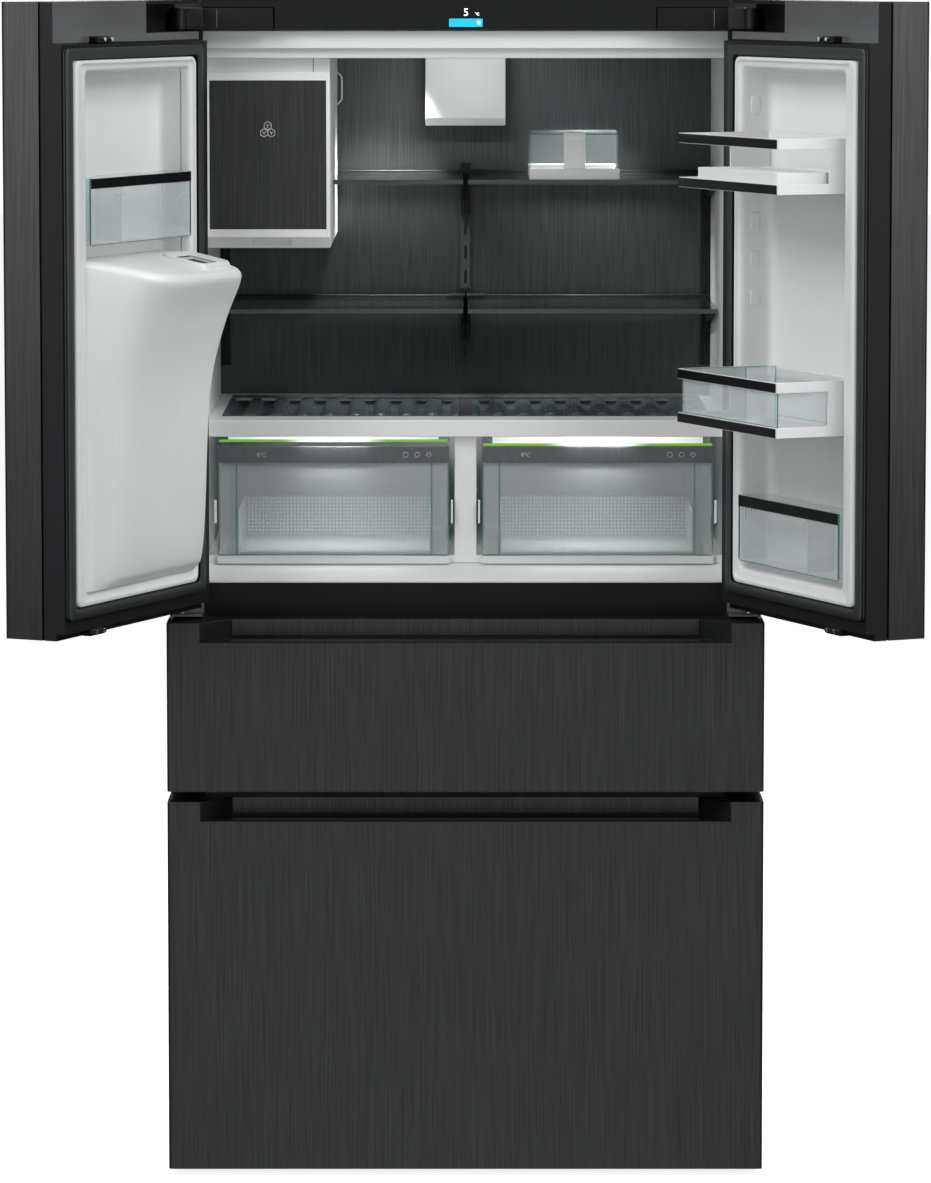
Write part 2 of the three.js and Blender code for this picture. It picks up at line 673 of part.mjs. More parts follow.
function addButterDish() {
  const { x, y } = BUTTER;
  const bottom = SHELF.upper + FIT;
  const rim = bottom + BUTTER.rim;
  const lidTop = bottom + BUTTER.height;
  piece(fridge, 'butter_dish', tray(x, y, [bottom, rim], 3), LINER_WHITE);
  const lid = slab(grown(x, -1), grown(y, -1), [rim + FIT, lidTop]);
  const space = slab(grown(x, -3.5), grown(y, -3.5), [rim, lidTop - 2.5]);
  piece(fridge, 'butter_lid', cut(lid, space), CLEAR);
}

// ---------------------------------------------------------------- doors
// A door is drawn shut, about its hinge axis, then turned open with its group.
function doorGroup(side) {
  const group = new THREE.Group();
  group.position.set(side * PIVOT.x, PIVOT.y, 0);
  group.rotation.z = side * THREE.MathUtils.degToRad(DOOR_ANGLE);
  fridge.add(group);
  return group;
}

// Ranges across (u) and through (t) the door, as x and y about its hinge axis.
const across = (side, u) => u.map((value) => -side * (value - PIVOT_U));
const through = (t) => t.map((value) => value - PIVOT.y);
const doorSlab = (side, u, t, z) => slab(across(side, u), through(t), z);

function doorFacePrism(side, shape, t) {
  const points = asShape(shape).getPoints(3).map(({ x, y }) => [across(side, [x])[0], y]);
  return prism(points, 'y', through(t));
}

function doorPlanPrism(side, points, z) {
  const plan = points.map(([u, t]) => [across(side, [u])[0], through([t])[0]]);
  return prism(plan, 'z', z);
}

// The folded front: a rounded plan outline, open at the back.
function frontPlan([left, right], front, back, radius) {
  const corner = (x, from) => {
    const points = [];
    for (let step = 0; step <= 3; step += 1) {
      const angle = from + (step / 3) * (Math.PI / 2);
      points.push([x + radius * Math.cos(angle), front + radius + radius * Math.sin(angle)]);
    }
    return points;
  };
  return [
    [left, back],
    ...corner(left + radius, Math.PI),
    ...corner(right - radius, 1.5 * Math.PI),
    [right, back],
  ];
}

function doorSkin(side, openings) {
  const outer = frontPlan([0, DOOR_WIDTH], 0, SKIN_DEPTH, SKIN_RADIUS);
  const innerSpan = [SKIN_SHEET, DOOR_WIDTH - SKIN_SHEET];
  const inner = frontPlan(innerSpan, SKIN_SHEET, SKIN_DEPTH + 1, SKIN_RADIUS - SKIN_SHEET);
  const height = [DOOR_BOTTOM, HEIGHT];
  return cut(
    doorPlanPrism(side, outer, height),
    doorPlanPrism(side, inner, grown(height, 1)),
    doorSlab(side, [-1, SKIN_SHEET + 1], [HINGE_RECESS.depth, SKIN_DEPTH + 1], HINGE_RECESS.z),
    ...openings,
  );
}

function doorFrame(side, openings) {
  const inset = SKIN_SHEET + FIT;
  const height = [DOOR_BOTTOM, HEIGHT];
  const span = [inset, DOOR_WIDTH - inset];
  const bore = PIN_RADIUS + PIN_CLEARANCE;
  const core = doorPlanPrism(
    side,
    frontPlan(span, inset, SKIN_DEPTH, SKIN_RADIUS - inset),
    height,
  );
  const neckSpan = grown([0, DOOR_WIDTH], -GROOVE_INSET);
  const neck = doorSlab(side, neckSpan, [SKIN_DEPTH - 1, GROOVE_DEPTH + 1], height);
  const header = doorSlab(side, [0, DOOR_WIDTH], [GROOVE_DEPTH, HEADER_DEPTH], height);
  const frame = doorSlab(side, [0, DOOR_WIDTH], [GROOVE_DEPTH, FRAME_DEPTH], FRAME_Z);
  const recessSpan = [-1, HINGE_RECESS.width];
  const seatDepth = POCKET.t - LINER_WALL - FIT;
  return cut(
    join(core, neck, header, frame),
    doorSlab(side, grown(RIM.u, FIT), [seatDepth, RIM.t], grown(RIM.z, FIT)),
    doorSlab(side, recessSpan, [HINGE_RECESS.depth, FRAME_DEPTH + 1], HINGE_RECESS.z),
    rod(0, 0, [HINGE_ARM.z[0] - 34, HINGE_RECESS.z[0] + 1], bore),
    rod(0, 0, [DOOR_BOTTOM - 1, DOOR_BOTTOM + 17], bore),
    ...openings,
  );
}

function doorGasket(side) {
  const depth = [FRAME_DEPTH + FIT, GASKET_FACE];
  const ring = doorSlab(side, GASKET.u, depth, GASKET.z);
  const hole = doorSlab(
    side,
    grown(GASKET.u, -GASKET.width),
    grown(depth, 1),
    grown(GASKET.z, -GASKET.width - FIT),
  );
  return cut(ring, hole, doorSlab(side, grown(RIM.u, FIT), grown(depth, 1), grown(RIM.z, FIT)));
}

function doorLiner(side) {
  const rim = softRectangle(RIM.u, RIM.z, RIM.radius);
  const pocket = softRectangle(POCKET.u, POCKET.z, POCKET.radius);
  const ledgeU = between(RIM.u, POCKET.u, LEDGE.share);
  const ledgeZ = between(RIM.z, POCKET.z, LEDGE.share);
  const ledge = softRectangle(ledgeU, ledgeZ, LEDGE.radius);
  return cut(
    doorFacePrism(side, rim, [POCKET.t - LINER_WALL, RIM.t]),
    doorFacePrism(side, ledge, [RIM.t - LEDGE.depth, RIM.t + 1]),
    doorFacePrism(side, pocket, [POCKET.t, RIM.t + 1]),
  );
}

// What a door rack is built on: its plan, and a band round its top and its foot.
function rackBands(side, depth, [bottom, top], band) {
  const x = across(side, RACK.u).sort((a, b) => a - b);
  const y = through([RACK.back, RACK.back + depth]);
  const foot = hoop(x, y, [bottom, bottom + band], RACK.wall);
  return { x, y, bands: join(foot, hoop(x, y, [top - band, top], RACK.wall)) };
}

// A bin: clear walls inside the bands.
function bin(side, depth, z, band) {
  const { x, y, bands } = rackBands(side, depth, z, band);
  return join(tray(grown(x, -2), grown(y, -2), z, RACK.floor), bands);
}

// A rack that is open between its bands, which a plate joins at the back of each side.
function openRack(side, z) {
  const { x, y, bands } = rackBands(side, RACK.depth, z, RACK.band);
  const [left, right] = x;
  const plates = [[left, left + RACK.wall], [right - RACK.wall, right]].map((span) => (
    slab(span, [y[0], y[0] + RACK.plate], z)
  ));
  return join(bands, slab(x, y, [z[0], z[0] + RACK.floor]), ...plates);
}

function addDoor(word, side, { openings, dress }) {
  const group = doorGroup(side);
  piece(group, `${word}_door_skin`, doorSkin(side, openings), BRUSHED);
  piece(group, `${word}_door_frame`, doorFrame(side, openings), FRAME_DARK);
  piece(group, `${word}_door_gasket`, doorGasket(side), GASKET_GREY);
  dress(group);
}

// The ice and water dispenser stands out inside the door, deepest at its sloping top.
const housingTop = (t) => HOUSING_TOP - (t - RIM.t) * HOUSING_SLOPE;

function dispenserHousing(side) {
  const wall = POCKET.t - 1;
  const foot = POCKET.z[0];
  const nose = HOUSING_NOSE;
  const front = flowing([
    [RIM.t + 14, foot + 20], [RIM.t + 22, HOUSING_TOP - 226], [RIM.t + 32, HOUSING_TOP - 170],
    [RIM.t + 45, HOUSING_TOP - 125], [RIM.t + 62, HOUSING_TOP - 79], [RIM.t + 81, HOUSING_TOP - 43],
    [nose + 1, housingTop(nose) - 4],
  ], 18);
  const profile = [
    [wall, foot - 2], [RIM.t - 2, foot - 2], [RIM.t, foot + 1], ...front,
    [nose, housingTop(nose)], [RIM.t, HOUSING_TOP], [wall, HOUSING_TOP],
  ].map(([t, z]) => [through([t])[0], z]);
  const span = across(side, grown(POCKET.u, 20)).sort((a, b) => a - b);
  const sideView = prism(profile, 'x', span);
  const [near, far] = POCKET.u;
  const sweep = flowing([
    [near - 1, RIM.t + 38], [near + 5, nose - 12], [near + 19, nose + 2], [near + 37, nose + 6],
    [far - 101, nose + 6], [far - 56, nose - 18], [far - 21, RIM.t + 23], [far + 14, RIM.t],
  ], 24);
  const plan = [[near - 1, wall], ...sweep, [far + 14, wall]];
  return sideView.intersect(doorPlanPrism(side, plan, grown(POCKET.z, 40)));
}

// A soft square upright tube about the chute's middle.
function chuteTube(side, reach, corner, z) {
  const outline = softRectangle(
    grown([CHUTE.u, CHUTE.u], reach),
    grown([CHUTE.t, CHUTE.t], reach),
    corner,
  );
  return doorPlanPrism(side, outline.getPoints(3).map(({ x, y }) => [x, y]), z);
}

// The collar that meets the ice maker: its lip runs parallel to the housing's sloping top.
function iceChute(side) {
  const reach = grown([CHUTE.t, CHUTE.t], CHUTE.half + 1);
  const lip = reach.map((t) => [through([t])[0], housingTop(t) + CHUTE.rise]);
  const base = reach.map((t) => [through([t])[0], CHUTE.bottom - 1]).reverse();
  const span = across(side, grown([CHUTE.u, CHUTE.u], CHUTE.half + 1)).sort((a, b) => a - b);
  const high = HOUSING_TOP + CHUTE.rise + 10;
  const bore = chuteTube(
    side,
    CHUTE.half - CHUTE.wall,
    CHUTE.boreRadius,
    [CHUTE.bottom + 4, high],
  );
  const tube = chuteTube(side, CHUTE.half, CHUTE.radius, [CHUTE.bottom, high]);
  return cut(tube.intersect(prism([...lip, ...base], 'x', span)), bore);
}

function addLeftDoor() {
  const side = -1;
  const hole = doorSlab(
    side,
    grown(RECESS.u, FIT),
    [-1, RECESS.t + FIT],
    grown(RECESS.z, FIT),
  );
  const seatZ = [CHUTE.bottom - FIT, HOUSING_TOP + 20];
  const chuteSeat = chuteTube(side, CHUTE.half + FIT, CHUTE.radius + FIT, seatZ);

  const dress = (group) => {
    const liner = join(doorLiner(side), dispenserHousing(side));
    piece(group, 'left_door_liner', cut(liner, hole, chuteSeat), LINER_WHITE);
    piece(group, 'left_door_bin', bin(side, BIN_DEPTH, LEFT_BIN_Z, RACK.band), CLEAR);
    piece(group, 'ice_chute', iceChute(side), LINER_WHITE);
    addDispenser(group, side);
  };
  addDoor('left', side, { openings: [hole], dress });
}

function addDispenser(group, side) {
  const { u, z, t, wall, bezel } = RECESS;
  const box = doorSlab(side, u, [0, t], z);
  const lip = doorSlab(side, grown(u, bezel), [-1.5, -FIT], grown(z, bezel));
  const throat = doorSlab(side, grown(u, -wall), [-2, t - wall], grown(z, -wall));
  const joined = join(box, doorSlab(side, u, [-1, 1], z), lip);
  const { z: pivotZ, t: pivotT, u: bladeU, radius } = PADDLE;
  const pivotY = through([pivotT])[0];
  const ears = [[bladeU[0] - 7, bladeU[0] - 3], [bladeU[1] + 3, bladeU[1] + 7]].map((earU) => cut(
    doorSlab(side, earU, [pivotT - 7, pivotT + 7], [pivotZ - 7, SPOUT.z + 1]),
    axle(across(side, grown(earU, 1)).sort((a, b) => a - b), pivotY, pivotZ, radius + PIN_CLEARANCE, 16),
  ));
  const spout = doorSlab(side, SPOUT.u, [SPOUT.front, t - 1], [SPOUT.z, z[1] - 1]);
  piece(group, 'dispenser_recess', join(cut(joined, throat), spout, ...ears), PANEL_GLOSS);

  const blade = doorSlab(side, bladeU, [pivotT - 3, pivotT + 3], [PADDLE.bottom, pivotZ + PADDLE.rise]);
  const hook = doorSlab(side, bladeU, [pivotT - 10, pivotT], [PADDLE.bottom, PADDLE.bottom + 5]);
  const pinSpan = across(side, grown(bladeU, 7)).sort((a, b) => a - b);
  const pin = axle(pinSpan, pivotY, pivotZ, radius, 16);
  piece(group, 'dispenser_paddle', join(blade, hook, pin), TRIM_BLACK);

  const trayZ = [z[0] + wall + FIT, z[0] + wall + 14];
  const drip = doorSlab(side, grown(u, -wall - 2), [8, t - wall - 2], trayZ);
  let grate = cut(drip, doorSlab(
    side, grown(u, -wall - 5), [11, t - wall - 5], [trayZ[0] + 3, trayZ[1] + 1],
  ));
  const bars = 6;
  for (let i = 1; i <= bars; i += 1) {
    const at = u[0] + wall + 2 + (i * (u[1] - u[0] - 2 * wall - 4)) / (bars + 1);
    const reach = [9, t - wall - 3];
    grate = join(grate, doorSlab(side, [at - 2, at + 2], reach, [trayZ[1] - 3, trayZ[1]]));
  }
  piece(group, 'drip_tray', grate, ZINC);
}

function addRightDoor() {
  const side = 1;
  const span = (bottom) => [bottom, bottom + RACK.height];
  const lowerSpan = span(LOWER_RACK_Z);
  const divider = doorSlab(
    side,
    [DIVIDER_PLATE.u, DIVIDER_PLATE.u + 2],
    DIVIDER_PLATE.t,
    [lowerSpan[0] + 2, lowerSpan[1] + DIVIDER_PLATE.above],
  );
  const lower = join(openRack(side, lowerSpan), bin(side, RACK.depth, lowerSpan, RACK.band), divider);
  const dress = (group) => {
    piece(group, 'right_door_liner', doorLiner(side), LINER_WHITE);
    piece(group, 'right_door_upper_rack', openRack(side, span(UPPER_RACK_Z)), LINER_WHITE);
    piece(group, 'right_door_lower_rack', lower, CLEAR);
    piece(group, 'right_door_bin', bin(side, BIN_DEPTH, RIGHT_BIN.z, RIGHT_BIN.band), CLEAR);
    addEggTray(group, side, UPPER_RACK_Z + RACK.floor + FIT);
  };
  addDoor('right', side, { openings: [], dress });
}

function addEggTray(group, side, bottom) {
  const x = across(side, EGG_TRAY.u).sort((a, b) => a - b);
  const z = [bottom, bottom + EGG_TRAY.height];
  piece(group, 'egg_tray', tray(x, through(EGG_TRAY.t), z, EGG_TRAY.wall), LINER_WHITE);
}

// ---------------------------------------------------------------- freezer drawers
const gripPlan = (grow) => [
  [-GRIP.half - grow, -2],
  [-GRIP.half - grow, 0],
  [-GRIP.backHalf - grow, GRIP.depth + grow],
  [GRIP.backHalf + grow, GRIP.depth + grow],
  [GRIP.half + grow, 0],
  [GRIP.half + grow, -2],
];

function addFreezerDrawer(word, front, { tub, slideZ, back }) {
  const grip = prism(gripPlan(0), 'z', [front[1] - GRIP.height, front[1] + 1]);
  const inset = SKIN_SHEET + FIT;
  const skinPlan = frontPlan([-HALF, HALF], 0, SKIN_DEPTH, SKIN_RADIUS);
  const hollowPlan = frontPlan(
    [-HALF + SKIN_SHEET, HALF - SKIN_SHEET], SKIN_SHEET, SKIN_DEPTH + 1, SKIN_RADIUS - SKIN_SHEET,
  );
  const skin = cut(prism(skinPlan, 'z', front), prism(hollowPlan, 'z', grown(front, 1)), grip);
  piece(fridge, `${word}_drawer_skin`, skin, BRUSHED);

  const corePlan = frontPlan([-HALF + inset, HALF - inset], inset, SKIN_DEPTH, SKIN_RADIUS - inset);
  const neckSpan = [-HALF + GROOVE_INSET, HALF - GROOVE_INSET];
  const seal = [-DRAWER_GASKET.half, DRAWER_GASKET.half];
  const gasket = cut(
    slab(seal, [FRAME_DEPTH - 1, GASKET_FACE], grown(front, -DRAWER_GASKET.inset)),
    slab(
      grown(seal, -DRAWER_GASKET.width),
      [FRAME_DEPTH - 2, GASKET_FACE + 1],
      grown(front, -2 * DRAWER_GASKET.inset),
    ),
  );
  const core = join(
    prism(corePlan, 'z', front),
    slab(neckSpan, [SKIN_DEPTH - 1, GROOVE_DEPTH + 1], front),
    slab([-HALF, HALF], [GROOVE_DEPTH, FRAME_DEPTH], front),
    gasket,
  );
  piece(fridge, `${word}_drawer_core`, cut(core, grip), FRAME_DARK);

  const depth = [FRAME_DEPTH + FIT, back - 40];
  const basket = tray([-TUB_HALF, TUB_HALF], depth, tub, TUB_WALL);
  const runners = [-1, 1].map((side) => slab(
    [side * (TUB_HALF - 1), side * (SLIDE.lip[1] - 2)],
    [SLIDE.start, back - 40],
    [slideZ + SLIDE.lipHeight + FIT, slideZ + SLIDE.lipHeight + 7],
  ));
  piece(fridge, `${word}_drawer_tub`, join(basket, ...runners), LINER_WHITE);

  const rails = [-1, 1].map((side) => join(
    slab(
      [side * SLIDE.lip[1], side * SLIDE.plate],
      [SLIDE.start, back],
      [slideZ, slideZ + SLIDE.height],
    ),
    slab(
      [side * SLIDE.lip[0], side * SLIDE.plate],
      [SLIDE.start, back],
      [slideZ, slideZ + SLIDE.lipHeight],
    ),
  ));
  const tie = slab([-SLIDE.plate, SLIDE.plate], [back - 8, back], [slideZ, slideZ + SLIDE.height]);
  piece(fridge, `${word}_drawer_slides`, join(...rails, tie), ZINC);
}

// ---------------------------------------------------------------- assembly
addCase();
addInsulation();
addFridgeLiner();
addFreezerLiner();
addFrontRails();
addRunningGear();
addCompressor();
addHinges('left', -1);
addHinges('right', 1);
addBackWall();
addShelves();
addIceMaker();
addChillZone();
addButterDish();
addLeftDoor();
addRightDoor();
addFreezerDrawer('upper', UPPER_FRONT, {
  tub: [UPPER_FRONT[0] + 21, UPPER_FRONT[1] - 23],
  slideZ: UPPER_FRONT[0] + 103,
  back: LINER_BACK - 10,
});
addFreezerDrawer('lower', LOWER_FRONT, {
  tub: [FREEZER_FLOOR + 9, LOWER_FRONT[1] - 40],
  slideZ: MACHINE_TOP + 32,
  back: MACHINE_FRONT - 14,
});

// The origin is on the floor, under the centre of the open refrigerator's bounding box.
fridge.updateMatrixWorld(true);
const bounds = new THREE.Box3().setFromObject(fridge, true);
const centre = bounds.getCenter(new THREE.Vector3());
fridge.position.set(-centre.x, -centre.y, 0);

export default fridge;
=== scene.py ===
"""French door refrigerator with its doors open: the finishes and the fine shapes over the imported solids.

Metres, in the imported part's frame: X to the right, Y from the closed fronts to the back, Z up.
Shapes are worked out in millimetres, and a door's shapes as if the door were shut.
"""
import json
import math

import bmesh
import bpy
import numpy as np
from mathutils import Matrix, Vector


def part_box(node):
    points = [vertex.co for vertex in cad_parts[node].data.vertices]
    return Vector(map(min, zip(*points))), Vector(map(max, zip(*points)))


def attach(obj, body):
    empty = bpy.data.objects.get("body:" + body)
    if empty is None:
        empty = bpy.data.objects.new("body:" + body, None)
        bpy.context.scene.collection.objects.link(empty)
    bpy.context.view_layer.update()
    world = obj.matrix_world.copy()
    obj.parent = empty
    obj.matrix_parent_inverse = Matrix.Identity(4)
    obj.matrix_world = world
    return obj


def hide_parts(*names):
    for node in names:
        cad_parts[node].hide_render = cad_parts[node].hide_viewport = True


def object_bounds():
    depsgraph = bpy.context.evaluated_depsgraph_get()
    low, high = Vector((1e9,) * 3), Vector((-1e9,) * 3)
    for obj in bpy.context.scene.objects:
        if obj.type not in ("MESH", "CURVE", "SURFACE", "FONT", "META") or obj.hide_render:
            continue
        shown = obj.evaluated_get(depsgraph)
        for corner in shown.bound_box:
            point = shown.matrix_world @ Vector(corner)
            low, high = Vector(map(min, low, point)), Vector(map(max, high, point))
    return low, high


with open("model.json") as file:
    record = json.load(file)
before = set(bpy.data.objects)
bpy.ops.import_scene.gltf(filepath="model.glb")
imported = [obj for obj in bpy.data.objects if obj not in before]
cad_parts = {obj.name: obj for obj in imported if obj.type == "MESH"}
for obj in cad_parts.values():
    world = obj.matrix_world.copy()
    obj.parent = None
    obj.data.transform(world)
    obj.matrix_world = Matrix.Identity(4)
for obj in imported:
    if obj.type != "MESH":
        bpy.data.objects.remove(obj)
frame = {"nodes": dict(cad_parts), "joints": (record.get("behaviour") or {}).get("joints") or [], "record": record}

cad_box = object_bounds()
scene = bpy.context.scene
MM = 0.001


# ---------------------------------------------------------------- materials
def linear(hex_colour):
    """A colour written as sRGB hex, turned to linear light with full alpha."""
    parts = np.array([int(hex_colour[i:i + 2], 16) for i in (1, 3, 5)]) / 255
    light = np.where(parts <= 0.04045, parts / 12.92, ((parts + 0.055) / 1.055) ** 2.4)
    return (*light.tolist(), 1.0)


def add(tree, kind, links=None, **settings):
    """One node of a kind: its properties and sockets set, and its inputs linked or given a value."""
    node = tree.nodes.new(kind)
    for name, value in settings.items():
        if hasattr(node, name):
            setattr(node, name, value)
        else:
            node.inputs[name.replace("_", " ")].default_value = value
    for name, source in (links or {}).items():
        if isinstance(source, bpy.types.NodeSocket):
            tree.links.new(source, node.inputs[name])
        else:
            node.inputs[name].default_value = source
    return node


def ramp(tree, factor, stops):
    """A colour ramp over a factor, from (place, colour) pairs."""
    node = add(tree, "ShaderNodeValToRGB", {"Fac": factor})
    cells = node.color_ramp.elements
    while len(cells) < len(stops):
        cells.new(0.5)
    for cell, (place, colour) in zip(cells, stops):
        cell.position = place
        cell.color = linear(colour)
    return node.outputs["Color"]


def material(name):
    """A new node material, with its tree, its Principled shader and its object coordinates."""
    made = bpy.data.materials.new(name)
    made.use_nodes = True
    tree = made.node_tree
    shader = tree.nodes["Principled BSDF"]
    place = add(tree, "ShaderNodeTexCoord").outputs["Object"]
    return made, tree, shader, place


def grain(tree, place, per_metre, detail, rough=0.55):
    """Noise whose cells are 1/per_metre long on each axis, as a value from 0 to 1."""
    scaled = add(tree, "ShaderNodeMapping", {"Vector": place}, Scale=per_metre)
    return add(tree, "ShaderNodeTexNoise", {"Vector": scaled.outputs["Vector"]},
               Scale=1.0, Detail=detail, Roughness=rough).outputs["Fac"]


def relief(tree, shader, height, depth, strength):
    """Bump of a height field, depth metres from its low to its high."""
    bump = add(tree, "ShaderNodeBump", {"Height": height}, Strength=strength, Distance=depth)
    tree.links.new(bump.outputs["Normal"], shader.inputs["Normal"])


def spread(tree, shader, factor, low, high):
    """Roughness that follows a factor between two values."""
    moved = add(tree, "ShaderNodeMapRange", {"Value": factor}, To_Min=low, To_Max=high)
    tree.links.new(moved.outputs["Result"], shader.inputs["Roughness"])


def set_shader(shader, **values):
    """Constant values on the shader's own sockets."""
    for name, value in values.items():
        shader.inputs[name.replace("_", " ")].default_value = value


def tint(tree, shader, factor, stops):
    """Base colour that follows a factor through a colour ramp."""
    tree.links.new(ramp(tree, factor, stops), shader.inputs["Base Color"])


def brushed_metal(name, dark, middle, light, roughness, grain_mm, length_mm):
    """Sheet brushed along Z: two fine straight grains, one nearly twice as wide as the other.

    Real brushing is near 0.1 mm across; it is drawn at grain_mm so that it shows.
    """
    made, tree, shader, place = material(name)
    across, along = 1000 / grain_mm, 1000 / length_mm
    fine = grain(tree, place, (across, across, along), 1, 0.5)
    coarse = grain(tree, place, (across / 1.8, across / 1.8, along / 1.3), 1, 0.5)
    mixed = add(tree, "ShaderNodeMath", {0: fine, 1: coarse}, operation="ADD")
    shade = add(tree, "ShaderNodeMapRange", {"Value": mixed.outputs[0]}, From_Min=0.45, From_Max=1.55)
    tint(tree, shader, shade.outputs["Result"], [(0.0, dark), (0.5, middle), (1.0, light)])
    spread(tree, shader, fine, roughness - 0.05, roughness + 0.05)
    relief(tree, shader, fine, 0.00002, 0.3)
    set_shader(shader, Metallic=1.0, Anisotropic=0.4)
    return made


def moulded_plastic(name, colour, second, roughness, grit_mm=0.9, ior=1.53, coat=0.0, gloss=0.5):
    """Injection-moulded plastic: even colour with a faint drift, and a fine spark-eroded texture."""
    made, tree, shader, place = material(name)
    drift = grain(tree, place, (6, 6, 6), 2)
    grit = grain(tree, place, (1000 / grit_mm,) * 3, 1)
    tint(tree, shader, drift, [(0.3, colour), (0.7, second)])
    spread(tree, shader, grit, roughness - 0.04, roughness + 0.04)
    relief(tree, shader, grit, 0.00003, 0.2)
    set_shader(shader, IOR=ior, Coat_Weight=coat, Coat_Roughness=0.08, Specular_IOR_Level=gloss)
    return made


def clear_plastic(name, colour, roughness, alpha, ior=1.49):
    """Clear moulded or rolled sheet: mostly seen through, with a pale veil and a gloss on its faces."""
    made, tree, shader, place = material(name)
    wave = grain(tree, place, (30, 30, 30), 1)
    tint(tree, shader, wave, [(0.3, colour), (0.7, colour)])
    spread(tree, shader, wave, roughness, roughness + 0.03)
    set_shader(shader, IOR=ior, Alpha=alpha)
    return made


def patterned_plastic(name, colour, second, pitch_mm):
    """Moulded plastic pressed with diamonds: the sign of sin(a + b) sin(a - b) tints it by turns."""
    made, tree, shader, place = material(name)
    axes = add(tree, "ShaderNodeSeparateXYZ", {"Vector": place}).outputs
    up = add(tree, "ShaderNodeMath", {0: axes["Y"], 1: axes["Z"]}, operation="ADD").outputs[0]
    waves = []
    for turn in ("ADD", "SUBTRACT"):
        slant = add(tree, "ShaderNodeMath", {0: axes["X"], 1: up}, operation=turn).outputs[0]
        phase = add(tree, "ShaderNodeMath", {0: slant, 1: math.pi * 1000 / pitch_mm}, operation="MULTIPLY")
        waves.append(add(tree, "ShaderNodeMath", {0: phase.outputs[0]}, operation="SINE").outputs[0])
    both = add(tree, "ShaderNodeMath", {0: waves[0], 1: waves[1]}, operation="MULTIPLY").outputs[0]
    tint(tree, shader, both, [(0.0, colour), (0.35, second)])
    spread(tree, shader, both, 0.3, 0.4)
    set_shader(shader, IOR=1.55)
    return made


def light_up(tree, shader, glow, strength):
    """One colour for the face and for the light that it gives off."""
    for name in ("Base Color", "Emission Color"):
        tree.links.new(glow, shader.inputs[name])
    set_shader(shader, Emission_Strength=strength, Roughness=0.4)


def lamp_face(name, colour, strength):
    """A lit diffuser: an even glow with a faint drift."""
    made, tree, shader, place = material(name)
    drift = grain(tree, place, (25, 25, 25), 1)
    light_up(tree, shader, ramp(tree, drift, [(0.2, colour), (0.8, colour)]), strength)
    return made


def lit_edge(name, stops, strength):
    """A glowing strip whose colour goes by its distance from the middle of its drawer. On the drawer's light it is
    the lamp's own glow; on the lid's edge it is a painted glow and highlight.
    """
    made, tree, shader, place = material(name)
    x = add(tree, "ShaderNodeSeparateXYZ", {"Vector": place}).outputs["X"]
    out = add(tree, "ShaderNodeMath", {0: x}, operation="ABSOLUTE").outputs[0]
    off = add(tree, "ShaderNodeMath", {0: out, 1: CHILL_MIDDLE}, operation="SUBTRACT").outputs[0]
    away = add(tree, "ShaderNodeMath", {0: off}, operation="ABSOLUTE").outputs[0]
    shade = add(tree, "ShaderNodeMapRange", {"Value": away}, From_Max=0.18).outputs["Result"]
    light_up(tree, shader, ramp(tree, shade, stops), strength)
    return made


CHILL_LOW, CHILL_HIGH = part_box("right_chill_bin")
CHILL_MIDDLE = (CHILL_LOW.x + CHILL_HIGH.x) / 2

# Stainless sheet, brushed up and down and coated dark: long fine streaks.
DARK_STEEL = brushed_metal("brushed_dark_stainless", "#4b4b4b", "#5b5b5b", "#6b6b6b", 0.4, 1.3, 130)
# The metal wall of the fresh-food space: the same brushing, a little darker.
WALL_STEEL = brushed_metal("brushed_dark_back_wall", "#484949", "#5a5b5b", "#6d6e6e", 0.5, 1.3, 90)
# Anodised aluminium bars of the chill drawers.
BAR_METAL = brushed_metal("anodised_grey_bar", "#7c7d7f", "#868789", "#909193", 0.42, 0.9, 12)
# Zinc-plated steel: bright grey with a soft bloom.
ZINC = brushed_metal("zinc_plated_steel", "#8d9092", "#a6a9ab", "#bdc0c2", 0.38, 1.5, 6)
# Chromed pins of the door closers.
CHROME = brushed_metal("chromed_pin", "#c4c6c8", "#d0d2d3", "#dcddde", 0.12, 2.0, 2.0)
# Anodised black trim, brushed along its length: the strips on racks and bins.
TRIM = brushed_metal("anodised_black_trim", "#151515", "#1d1d1d", "#272727", 0.4, 0.5, 0.5)
# Galvanised rear sheet: blurred spangles.
REAR = brushed_metal("galvanised_rear_sheet", "#787c7f", "#8e9295", "#a3a7aa", 0.5, 12, 14)
# Painted steel case: dark powder coat with an orange-peel texture.
CASE = moulded_plastic("powder_coated_case_steel", "#2b2c2d", "#262728", 0.5, 1.2)
# Middle shelf rail: dark painted steel.
RAIL = moulded_plastic("painted_rail_steel", "#2c2e2e", "#262828", 0.45, 1.0)
# Stove-enamelled compressor shell.
ENAMEL = moulded_plastic("enamelled_compressor_shell", "#0c0c0d", "#101011", 0.25, 2.0, 1.5, 0.6)
# Moulded ABS of racks and door liners: white, satin.
WHITE = moulded_plastic("moulded_white_abs", "#e8eae9", "#e4e6e5", 0.36)
# Thermoformed polystyrene of the fresh-food liner: the white of the moulded pieces, made greyer as painted shade.
LINER_PAINTED_SHADE = moulded_plastic("liner_polystyrene_painted_shade", "#dddfde", "#d9dbda", 0.42)
# Black ABS of trims and caps: satin.
BLACK = moulded_plastic("moulded_black_abs", "#131314", "#0e0e0f", 0.42, gloss=0.3)
# Door frames: nearly black plastic with a hint of violet.
FRAME = moulded_plastic("moulded_door_frame_plastic", "#161518", "#131214", 0.5, gloss=0.3)
# Header of each door: dark satin grey coated plastic, drawn paler as a painted sheen of the room's light; the same
# grey draws the painted highlight on the hinge covers' seams.
PAINTED_SHEEN_GREY = moulded_plastic("satin_grey_painted_sheen", "#5d5d5d", "#535353", 0.3, 1.0, 1.5, 0.3)
# Front trims of the glass shelves.
SHELF_TRIM = moulded_plastic("satin_grey_shelf_trim", "#4c4e4e", "#464848", 0.4, 1.2)
